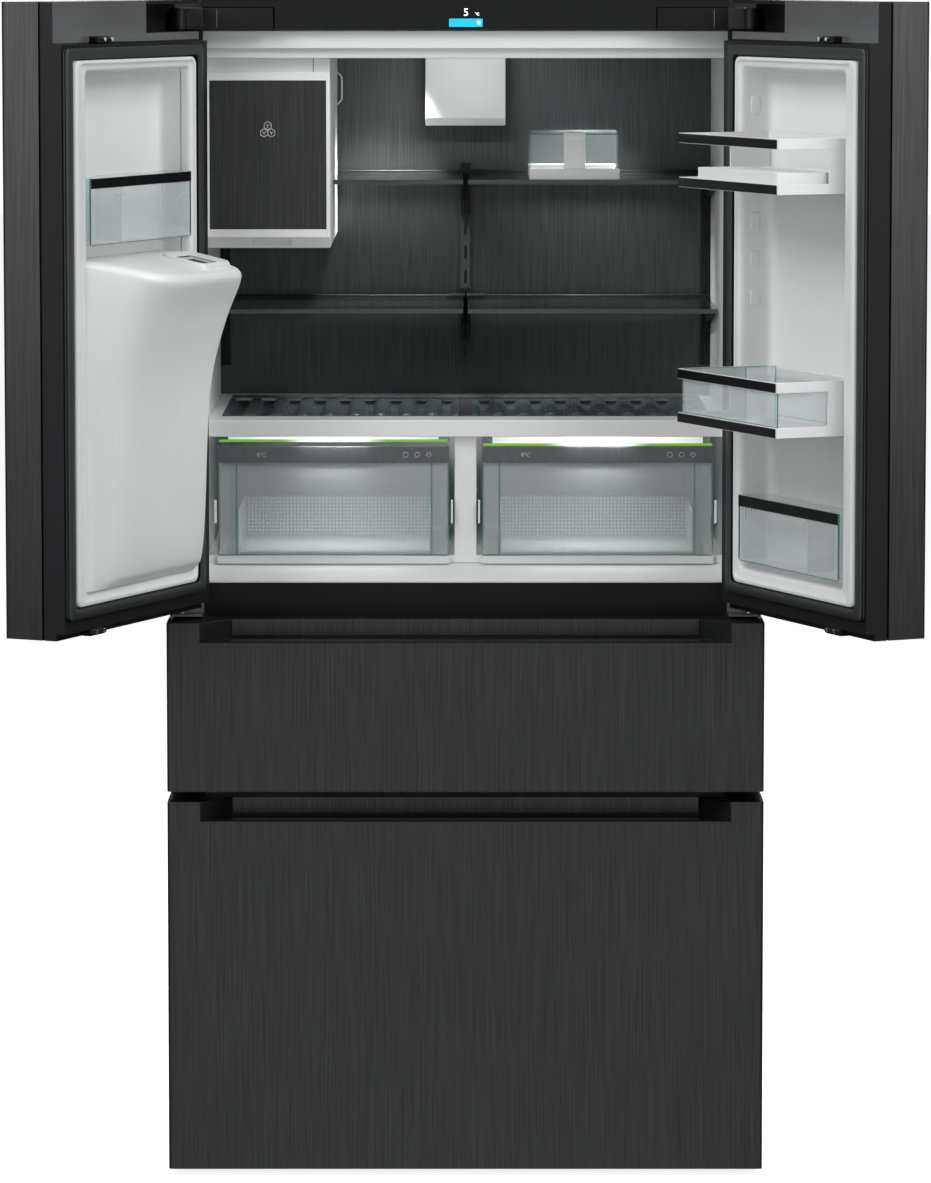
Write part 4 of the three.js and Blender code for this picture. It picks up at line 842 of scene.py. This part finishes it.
def door_rack(node, band):
    """A rack of two white bands round an open middle, with side plates, a floor and black front strips."""
    (u0, t0, z0), (u1, t1, z1) = rack_box(node)
    shells = [hoop_band((u0, u1), (t0, t1), z, 4) for z in ((z0, z0 + band), (z1 - band, z1))]
    shells += bars((u0 + 0.2, u0 + 3.8, t0 + 0.2, t0 + 68, z0 + band - 1, z1 - band + 1),
                   (u1 - 3.8, u1 - 0.2, t0 + 0.2, t0 + 68, z0 + band - 1, z1 - band + 1),
                   (u0 + 3, u1 - 3, t0 + 3, t1 - 3, z0 + 0.4, z0 + 3))
    piece(node + "_bands", shells, "right_door", WHITE, bevel=0.5, replaces=[node])
    bar_piece(node + "_strips", "right_door", TRIM, 0.35,
              *[(u0 + 1, u1 - 1, t1, t1 + 0.8, z + 0.8, z + band - 0.8) for z in (z0, z1 - band)])


door_rack("right_door_upper_rack", 15)
door_rack("right_door_lower_rack", 15)


def rack_glass():
    """The lower rack's glass tub, with an upright divider that stands above the band."""
    (u0, t0, z0), (u1, t1, z1) = rack_box("right_door_lower_rack")
    at, from_t, to_t = u0 + 199, t1 - 60, t1 - 10
    glass = [tub((u0 + 5, u1 - 5), (t0 + 5, t1 - 5), (z0 + 3.4, z1 - 1), 2.2, 3)]
    glass += bars((at, at + 2, from_t, to_t, z0 + 8, z1 + 15))
    piece("lower_rack_glass", glass, "right_door", CLEAR, bevel=0.3)
    bar_piece("lower_rack_glass_edges", "right_door", EDGE, 0.2,
              (u0 + 6, u1 - 6, t1 - 6.2, t1 - 5, z0 + 15, z0 + 16.2),
              (u1 - 6.2, u1 - 5, t0 + 60, t1 - 6, z1 - 1.2, z1 - 0.2),
              (u0 + 5, u0 + 6.2, t0 + 6, t1 - 6, z1 - 1.2, z1 - 0.2),
              (at, at + 2, from_t, to_t, z1 + 14.4, z1 + 15.2),
              (at - 0.1, at + 2.1, to_t - 0.6, to_t + 0.2, z0 + 8, z1 + 15),
              (at - 0.1, at + 2.1, from_t - 0.2, from_t + 0.6, z0 + 8, z1 + 15),
              (u0 + 30, u1 - 6, t0 + 5, t0 + 6, z0 + 8, z0 + 9.2),
              (u1 - 6, u1 - 4.8, t1 - 6.4, t1 - 5, z0 + 15, z1 - 15),
              (u0 + 4.8, u0 + 6, t1 - 6.4, t1 - 5, z0 + 15, z1 - 15))


rack_glass()


def egg_tray():
    """The egg tray: its top sinks by a half circle under each egg, and a band runs round it."""
    low, high = door_box("right", "egg_tray")
    u, t = np.meshgrid(np.linspace(low[0] + 1, high[0] - 1, 133), np.linspace(low[1] + 1, high[1] - 1, 61),
                       indexing="ij")
    columns, rows, cup_radius, cup_depth = 6, 2, 19, 17
    pitch_u, pitch_t = (high[0] - low[0]) / columns, (high[1] - low[1]) / rows
    du = (u - low[0]) % pitch_u - pitch_u / 2
    dt = (t - low[1]) % pitch_t - pitch_t / 2
    reach = 1 - (du ** 2 + dt ** 2) / cup_radius ** 2
    z = high[2] - 1.5 - cup_depth * np.sqrt(np.clip(reach, 0, None))
    piece("egg_tray_cups", [sheet(np.stack([u, t, z], -1))], "right_door", WHITE, wall=1.6,
          replaces=["egg_tray"], smooth_deg=60)
    piece("egg_tray_band", [hoop_band(*zip(low, high), 2.4, 4)], "right_door", WHITE, bevel=0.5)


egg_tray()


# ---------------------------------------------------------------- door heads, closers and drawer grips
HEAD_FACE = 86.0  # how far back the head strips' face stands
NOTCH_END = 168.4  # the head is notched under the hinge's arm: the notch's end along the door
NOTCH_TOP = 1751.6  # and the height that the head keeps there


def door_head(word):
    """The grey strip along a door's head, paler than its frame plastic as a painted sheen, the light ledge under
    it, and the two door closers.
    """
    body = word + "_door"
    low, (width, _, top) = door_box(word, word + "_door_frame")
    head_low = door_box(word, word + "_door_gasket")[1][2] + 7
    # The head strip is the frame's dark plastic drawn in a paler grey: a painted sheen.
    bar_piece(word + "_head_strip", body, PAINTED_SHEEN_GREY, 0.4,
              (NOTCH_END, width - 0.3, HEAD_FACE - 0.6, HEAD_FACE + 0.5, head_low, top - 0.3),
              (1, NOTCH_END, HEAD_FACE - 0.6, HEAD_FACE + 0.5, head_low, NOTCH_TOP), slot="frame_plastic")
    bar_piece(word + "_head_ledge", body, GASKET, 0.3,
              (width - 62, width - 4, HEAD_FACE, HEAD_FACE + 10, head_low - 2, head_low - 0.8))
    blocks, pins = [], []
    for u, z in ((300, head_low + 4), (332, low[2] + 4.5)):
        blocks += bars((u, u + 44, HEAD_FACE - 1, HEAD_FACE + 15, z - 5, z + 5))
        pins += [tube([(pin, HEAD_FACE + out, z + 1) for out in (12, 20)], 3.4) for pin in (u + 8, u + 30)]
    piece(word + "_closers", blocks, body, BLACK, bevel=1.4)
    piece(word + "_closer_pins", pins, body, CHROME, bevel=0.5)


def drawer_grip(word):
    """The brushed back face and floor strip of the grip's hollow, and the black line before them."""
    low, high = mm_box(word + "_drawer_skin")
    front, top, body = low[1], high[2], word + "_freezer_drawer"
    half, depth, height = HALF - 97, 56, 30  # the hollow behind the top edge, across, back and down
    back, floor = front + depth, top - height
    bar_piece(word + "_grip_face", body, DARK_STEEL, 0.4,
              (-half + 0.5, half - 0.5, back - 1.4, back - 0.2, floor + 5, top - 0.4),
              (-half + 0.5, half - 0.5, front + 14, front + 38, floor + 0.1, floor + 1.3))
    bar_piece(word + "_grip_line", body, BLACK, 0.4,
              (-half - 45, half + 45, front + 0.8, front + 12, floor + 0.1, floor + 1.0))


for word in ("left", "right"):
    door_head(word)
for word in ("upper", "lower"):
    drawer_grip(word)


# ---------------------------------------------------------------- fresh-food space
RAIL_FRONT = mm_box("centre_shelf_rail")[0][1]
SHELF_OUTER = mm_box("lower_right_shelf")[1][0]


def glass_shelf(node, brackets):
    """A glass sheet, its front and rear trims, its brackets and the dark clip at the middle rail."""
    low, high = mm_box(node)
    front, top, x0, x1 = low[1], high[2] - 0.6, low[0] + 0.4, high[0] - 0.4
    bar_piece(node + "_glass", "cabinet", GLASS, 0.8, (x0, x1, front + 6, RAIL_FRONT - 8, top - 5, top),
              replaces=[node])
    bar_piece(node + "_front_trim", "cabinet", SHELF_TRIM, 1.2,
              (x0, x1, front, front + 7, top - 6.4, top + 0.6))
    bar_piece(node + "_rear_trim", "cabinet", BLACK, 1.2,
              (x0, x1, RAIL_FRONT - 22, RAIL_FRONT - 8, top - 6, top + 3))
    outline = [(RAIL_FRONT - 1, top + 3), (RAIL_FRONT - 1, top - 44), (RAIL_FRONT - 13, top - 44),
               (front + 62, top - 14), (front + 62, top - 5.4), (RAIL_FRONT - 30, top - 5.4)]
    arms = [carried(outline, 0, (at - 1.4, at + 1.4)) for at in brackets]
    side = 1 if min(brackets, key=abs) > 0 else -1
    arms += bars((side * 1.2, side * 31, RAIL_FRONT - 56, RAIL_FRONT - 8, top + 0.1, top + 4.6),
                 (side * 1, side * 8, RAIL_FRONT - 9, RAIL_FRONT - 1.5, top - 70, top + 14))
    piece(node + "_brackets", arms, "cabinet", BLACK, bevel=0.5)


glass_shelf("upper_left_shelf", [-5])
glass_shelf("upper_right_shelf", [5, SHELF_OUTER - 5])
glass_shelf("lower_left_shelf", [-5, -SHELF_OUTER + 5])
glass_shelf("lower_right_shelf", [5, SHELF_OUTER - 5])


def butter():
    """The clear lid with bright edges, and the white clip over its middle with three ridges."""
    (x0, y0, z0), (x1, y1, z1) = mm_box("butter_lid")
    points, faces = tub((x0, x1), (y0, y1), (-z1, -z0), 2.2, 3)
    piece("butter_lid_clear", [(points * [1, 1, -1], faces)], "butter_lid", THIN_CLEAR,
          replaces=["butter_lid"], smooth_deg=50)
    bar_piece("butter_lid_edges", "butter_lid", EDGE, 0.2,
              (x0, x1, y0 - 0.2, y0 + 1, z1 - 1.1, z1),
              (x0, x0 + 1.1, y0 - 0.2, y0 + 1, z0, z1),
              (x1 - 1.1, x1, y0 - 0.2, y0 + 1, z0, z1),
              (x0, x0 + 1.1, y0, y1, z1 - 1.1, z1),
              (x1 - 1.1, x1, y0, y1, z1 - 1.1, z1))
    middle = (x0 + x1) / 2
    bar_piece("butter_lid_clip", "butter_lid", WHITE, 0.6,
              (middle - 17, middle + 17, y0 - 3.4, y0 - 0.4, z0 - 1, z1 + 1.6),
              (middle - 17, middle + 17, y0 - 3.4, y0 + 40, z1 + 0.2, z1 + 1.8),
              *[(middle - 14, middle + 14, y0 - 4.4, y0 - 3, z, z + 1.6) for z in (z1 - 12, z1 - 17, z1 - 22)])


butter()


def outline_tubes(corners, radius, sides):
    """Thin round bars from each corner of an outline to the next."""
    return [tube(ends, radius, sides) for ends in zip(corners[:-1], corners[1:])]


def ice_maker():
    """The frame round the ice bin's dark front, the housing's seam and hook, and the bin's mark."""
    (x0, front, _), (x1, back, top) = mm_box("ice_maker_housing")
    (bin_x0, bin_y, bin_z0), (bin_x1, _, bin_z1) = mm_box("ice_bin")
    y = (front - 5.4, front + 0.5)
    bar_piece("ice_maker_frame", "cabinet", WHITE, 0.9,
              (x0 + 0.4, bin_x0 - 0.5, *y, bin_z0 - 13, bin_z1 + 13),
              (bin_x1 + 0.5, x1 - 0.4, *y, bin_z0 - 13, bin_z1 + 13),
              (bin_x0 - 0.6, bin_x1 + 0.6, *y, bin_z1 + 0.5, bin_z1 + 13),
              (bin_x0 - 0.6, bin_x1 + 0.6, *y, bin_z0 - 13, bin_z0 - 0.5))
    bar_piece("ice_maker_seam", "cabinet", GASKET, 0.2,
              (x0 + 164, x0 + 165, front - 0.5, front + 0.3, bin_z1 + 13, top), slot="white_plastic")
    # The wire hook on its side: how far it stands out, and at what height.
    hook = [(x1 + out, back - 14, z) for out, z in ((-0.5, 1678), (7, 1671), (7.6, 1666), (7.6, 1638),
                                                    (7, 1632), (-0.5, 1625))]
    piece("ice_maker_hook", [tube(softened(hook, 2), 1.3)], "cabinet", WHITE, smooth_deg=60)
    marks = []
    turns = np.arange(7) * math.pi / 3 + math.pi / 6
    ring = 6.3 * np.stack([np.cos(turns), 0 * turns, np.sin(turns)], -1)
    for x, z in ((0, 5.5), (-5.6, -5.5), (5.6, -5.5)):  # three cubes in outline, each with its near corner
        centre = np.array([(bin_x0 + bin_x1) / 2 + x, bin_y - 0.1, bin_z1 - 74 + z])
        marks += outline_tubes(centre + ring, 0.5, 6)
        marks += [tube([centre, centre + 0.55 * ring[k]], 0.45, 6) for k in (0, 2, 4)]
    piece("ice_cube_mark", marks, "ice_drawer", PRINT)


ice_maker()


def bottle_rack():
    """The bottle rack: height is a softened cosine of the way across, the same all the way back.

    The cosine is pushed towards flat tops and troughs by tanh(1.8 cos) / tanh(1.8).
    """
    low, high = mm_box("bottle_rack")
    half, divider, waves, push = high[0], 10.0, 9, 1.8
    pitch = (half - divider) / waves
    x, y = np.meshgrid(np.linspace(divider, half - 0.5, 181), np.linspace(low[1] + 1, high[1] - 1, 5),
                       indexing="ij")
    rise = 0.5 + 0.5 * np.tanh(push * np.cos(2 * math.pi * (x - divider) / pitch)) / math.tanh(push)
    z = low[2] + 4 + rise * (high[2] - low[2] - 5)
    shells = [sheet(np.stack([side * x, y, z], -1)[::side]) for side in (-1, 1)]
    piece("bottle_rack_waves", shells, "cabinet", SMOKED, wall=1.6, smooth_deg=60, replaces=["bottle_rack"])
    bar_piece("bottle_rack_ends", "cabinet", GASKET, 0.8,
              (-divider, divider, low[1] + 1, high[1] - 1, low[2] + 0.5, high[2]),
              (-half + 0.4, half - 0.4, high[1] - 4, high[1] - 2, low[2] + 0.5, high[2] - 3),
              slot="white_plastic")
    cover_back, cover_top = mm_box("chill_cover")[1][1:]
    # The rear plate carries the rack on to the chill cover's back. Dark over the cover's white top, it also stands
    # there as painted shade.
    bar_piece("bottle_rack_rear_plate", "cabinet", SMOKED, 0.4,
              (-half + 0.4, half - 0.4, high[1] - 2, cover_back - 0.5, cover_top + 0.2, cover_top + 1.4))


bottle_rack()


def chill_drawer(word):
    """A chill drawer: clear front and tub, bright edges, the frosted basket, and its lid's light strip and green
    edge, whose glow is painted.
    """
    side, body = 1 if word == "right" else -1, word + "_chill_drawer"
    low, high = mm_box(word + "_chill_bin")
    inner, outer = sorted((abs(low[0]), abs(high[0])))
    y0, y1, z0, z1 = low[1], high[1], low[2], high[2]

    def part(name, rides, finish, bevel, *rows, **more):
        """Bars whose first two numbers are measured from the fridge's middle towards the drawer."""
        rows = [(side * a, side * b, *rest) for a, b, *rest in rows]
        bar_piece(word + name, rides, finish, bevel, *rows, **more)

    piece(word + "_chill_tub", [tub((side * inner, side * outer), (y0, y1), (z0, z1), 2.2, 4)], body, CLEAR,
          replaces=[word + "_chill_bin"], smooth_deg=50)
    left, right = inner + 26, outer - 28
    part("_chill_edges", body, EDGE, 0.2,
         (inner + 1, outer - 1, y0 - 0.5, y0 + 0.8, z0, z0 + 1.4),
         (left, left + 1.5, y0 - 0.5, y0 + 0.8, z0 + 2, z1 - 26),
         (right - 1.5, right, y0 - 0.5, y0 + 0.8, z0 + 2, z1 - 26),
         (inner, inner + 1, y0 - 0.5, y0 + 0.8, z0 + 1, z1 - 26),
         (outer - 1, outer, y0 - 0.5, y0 + 0.8, z0 + 1, z1 - 26))
    back, floor, rim = y0 + 258, z0 + 3, z0 + 66
    part("_chill_basket", body, BASKET, 0.4,
         (left + 2, right - 2, y0 + 6, back, floor, floor + 2),
         (left + 2, right - 2, back - 2, back, floor + 2.2, rim),
         (left + 2, left + 4, y0 + 6, back - 2.2, floor + 2.2, rim),
         (right - 4, right - 2, y0 + 6, back - 2.2, floor + 2.2, rim))
    part("_chill_basket_lip", body, GASKET, 0.3,
         (left + 2, right - 2, back - 2.4, back + 0.6, rim + 0.2, rim + 1.4), slot="clear_plastic")

    lid_z = z1 + (1 if word == "right" else 7)
    # The lid's green edge glows by painted light, whitening to a painted highlight under the drawer's light.
    part("_chill_lid_edge", "cabinet", GREEN_EDGE_PAINTED_GLOW, 0.5,
         (inner + 2, outer - 2, y0 - 1, y0 + 1.5, lid_z, lid_z + 3.6))
    part("_chill_light", "cabinet", LIT_STRIP, 0.4,
         (inner + 16, outer - 16, y0 + 2, y0 + 6, lid_z + 3.8, z1 + 14.4))
    part("_chill_clips", "cabinet", WHITE, 0.8,
         (outer + 2, outer + 6, y0 - 4, y0 + 4, z0 + 50, z0 + 86),
         (inner - 6, inner - 3, y0 - 4, y0 + 4, z0 + 50, z0 + 86))
    # The sill step is drawn in the liner white, greyed as painted shade.
    part("_sill_step", "cabinet", LINER_PAINTED_SHADE, 0.4, (inner - 1, outer + 1, y0 - 0.3, y0 + 7.5, z0 - 13, z0 - 0.8))

    bar_low, bar_high = mm_box(word + "_chill_front")
    face, level, from_end = bar_low[1] - 0.2, (bar_low[2] + bar_high[2]) / 2, 67
    lettering(word + "_bar_figure", "0°C", 6, (bar_low[0] + from_end, face, level - 3), body, PRINT)
    turns = np.linspace(0, 2 * math.pi, 25)
    circle = 4 * np.stack([np.cos(turns), 0 * turns, np.sin(turns)], -1)
    icons = []
    for number, sides in enumerate((24, 6, 4)):  # a round one, one of six sides and one of four
        centre = (bar_high[0] - from_end + 18 * number, face, level)
        icons += outline_tubes(centre + circle[::24 // sides], 0.4, 4)
    piece(word + "_bar_icons", icons, body, PRINT)


chill_drawer("left")
chill_drawer("right")


def display():
    """The control panel's lit figures, its blue button with a six-armed star, and a painted highlight along the
    seam on each side of it.
    """
    face = mm_box("control_panel")[0][1] - 0.15
    figure_z, button_z, star_x, star_z = 1775, (1758, 1770.5), 20.5, 1764.4
    lettering("display_figure", "5", 11, (0.8, face, figure_z), "cabinet", LIT_WHITE)
    lettering("display_unit", "°C", 4.2, (17.8, face, figure_z + 0.4), "cabinet", LIT_WHITE)
    outline = soft_rectangle((-25, button_z[0]), (26, button_z[1]), 1.2)
    piece("display_button", [carried(outline, 1, (face - 0.1, face + 0.5))], "cabinet", LIT_BLUE)
    centre = np.array([star_x, face - 0.3, star_z])
    arms = []
    for turn in (0, math.pi / 3, 2 * math.pi / 3):
        reach = np.array([math.cos(turn), 0, math.sin(turn)]) * 3.0
        arms.append(tube([centre - reach, centre + reach], 0.35, 6))
    piece("display_star", arms, "cabinet", LIT_WHITE)
    for word, side in (("left", -1), ("right", 1)):  # a painted highlight along a seam towards each hinge
        # A thin light grey bar on the black hinge cover: a painted highlight.
        bar_piece(word + "_hinge_seam_highlight", "cabinet", PAINTED_SHEEN_GREY, 0.2,
                  (side * 377.4, side * 378.8, FRONT + 83.2, FRONT + 84.2, 1757, 1785), slot="black_plastic")


display()


# ---------------------------------------------------------------- camera and studio
FRONT_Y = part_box("upper_drawer_skin")[0].y
ROOM_TOP = cad_box[1].z
view = bpy.data.cameras.new("view")
camera = bpy.data.objects.new("view", view)
scene.collection.objects.link(camera)
scene.camera = camera
camera.location = (0, FRONT_Y - 8.148, ROOM_TOP + 0.076)
camera.rotation_euler = (math.radians(90 - 5.234), 0, 0)
view.sensor_width = 36
view.lens = 164.3
view.shift_y = -0.125
view.clip_end = 60


def lamp(name, where, target, size, power, colour="#ffffff", spread_deg=180.0):
    """A soft rectangular lamp that faces a target."""
    light = bpy.data.lights.new(name, "AREA")
    light.shape = "RECTANGLE"
    light.size, light.size_y = size
    light.energy = power
    light.color = linear(colour)[:3]
    light.spread = math.radians(spread_deg)
    thing = bpy.data.objects.new(name, light)
    scene.collection.objects.link(thing)
    thing.location = where
    thing.rotation_euler = (Vector(target) - Vector(where)).to_track_quat("-Z", "Y").to_euler()
    return thing


def studio_world():
    """Pale backdrop for the camera; for light, a dim surround that brightens low in front."""
    world = bpy.data.worlds.new("studio")
    scene.world = world
    world.use_nodes = True
    tree = world.node_tree
    tree.nodes.clear()
    ahead = add(tree, "ShaderNodeVectorMath", {0: add(tree, "ShaderNodeTexCoord").outputs["Generated"],
                                               1: (0, -0.78, -0.62)}, operation="DOT_PRODUCT")
    frontal = add(tree, "ShaderNodeMapRange", {"Value": ahead.outputs["Value"]}, From_Min=-1.0)
    shade = ramp(tree, frontal.outputs["Result"],
                 [(0.45, "#4a4a4a"), (0.75, "#535454"), (0.88, "#6a6b6b"), (0.95, "#b4b5b5"), (1.0, "#cccccc")])
    surround = add(tree, "ShaderNodeBackground", {"Color": shade}, Strength=1.0)
    backdrop = add(tree, "ShaderNodeBackground", Color=linear("#ffffff"), Strength=1.05)
    seen = add(tree, "ShaderNodeLightPath").outputs["Is Camera Ray"]
    mixed = add(tree, "ShaderNodeMixShader", {0: seen, 1: surround.outputs[0], 2: backdrop.outputs[0]})
    add(tree, "ShaderNodeOutputWorld", {"Surface": mixed.outputs[0]})


studio_world()
scene.view_settings.view_transform = "Standard"

lamp("left_top", (-2.4, FRONT_Y - 1.7, 4.2), (0.5, 0, 1.2), (2.4, 2.4), 116)
lamp("right_top", (2.4, FRONT_Y - 1.7, 4.2), (-0.5, 0, 1.2), (2.4, 2.4), 116)
lamp("left_side", (-3.3, FRONT_Y - 3.7, 2.2), (0.3, 0, 1.3), (1.6, 2.2), 38)
lamp("right_side", (3.3, FRONT_Y - 3.7, 2.2), (-0.3, 0, 1.3), (1.6, 2.2), 38)
low_lamp = lamp("front_low", (0, FRONT_Y - 2.2, 0.25), (0, 0.2, 1.35), (3.0, 0.8), 6)
low_lamp.visible_glossy = False
lamp("back", (0, 4.0, 3.2), (0, 0.4, 1.0), (3.0, 1.6), 70)

# Downlights in the fresh-food ceiling, close to the back wall.
WALL_LOW, WALL_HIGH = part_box("back_panel")
for name, x in (("left_downlight", -0.115), ("right_downlight", 0.195)):
    spot = bpy.data.lights.new(name, "SPOT")
    spot.energy = 34.0
    spot.color = linear("#fbfdfb")[:3]
    spot.spot_size = math.radians(80)
    spot.spot_blend = 1.0
    spot.shadow_soft_size = 0.03
    thing = bpy.data.objects.new(name, spot)
    scene.collection.objects.link(thing)
    thing.location = (x, WALL_LOW.y - 0.13, WALL_HIGH.z - 0.012)
    thing.rotation_euler = (math.radians(10), 0, 0)

# A small light in the front of the same ceiling, turned to the duct cover.
DUCT_LOW, DUCT_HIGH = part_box("duct_cover")
duct_x = (DUCT_LOW.x + DUCT_HIGH.x) / 2
lamp("duct_light", (duct_x, DUCT_LOW.y - 0.34, WALL_HIGH.z - 0.01), (duct_x, DUCT_LOW.y, DUCT_LOW.z + 0.02),
     (0.11, 0.02), 0.07, "#fdfffd", 80)

# A light bar over each chill drawer.
for word in ("left", "right"):
    low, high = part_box(word + "_chill_bin")
    middle = (low.x + high.x) / 2
    lamp(word + "_drawer_light", (middle, low.y + 0.03, high.z + 0.009), (middle, low.y + 0.12, low.z),
         (0.24, 0.012), 0.62, "#fdfffd", 84)
    lamp(word + "_bar_light", (middle, low.y - 0.02, high.z + 0.014), (middle, low.y, high.z - 0.02),
         (0.1, 0.004), 0.05, "#fdfffd", 110)

floor_mesh = bpy.data.meshes.new("floor")
floor_mesh.from_pydata([(-30, -30, 0), (30, -30, 0), (30, 30, 0), (-30, 30, 0)], [], [(0, 1, 2, 3)])
floor = bpy.data.objects.new("floor", floor_mesh)
scene.collection.objects.link(floor)
# Matt studio floor, nearly white and lit from below, as a light table is.
FLOOR = moulded_plastic("matt_floor_paint", "#f7f7f7", "#f4f4f4", 0.9, 4.0)
glow = FLOOR.node_tree.nodes["Principled BSDF"].inputs
glow["Emission Color"].default_value = linear("#ffffff")
glow["Emission Strength"].default_value = 0.85
floor_mesh.materials.append(FLOOR)
floor.visible_glossy = False
floor.visible_diffuse = False
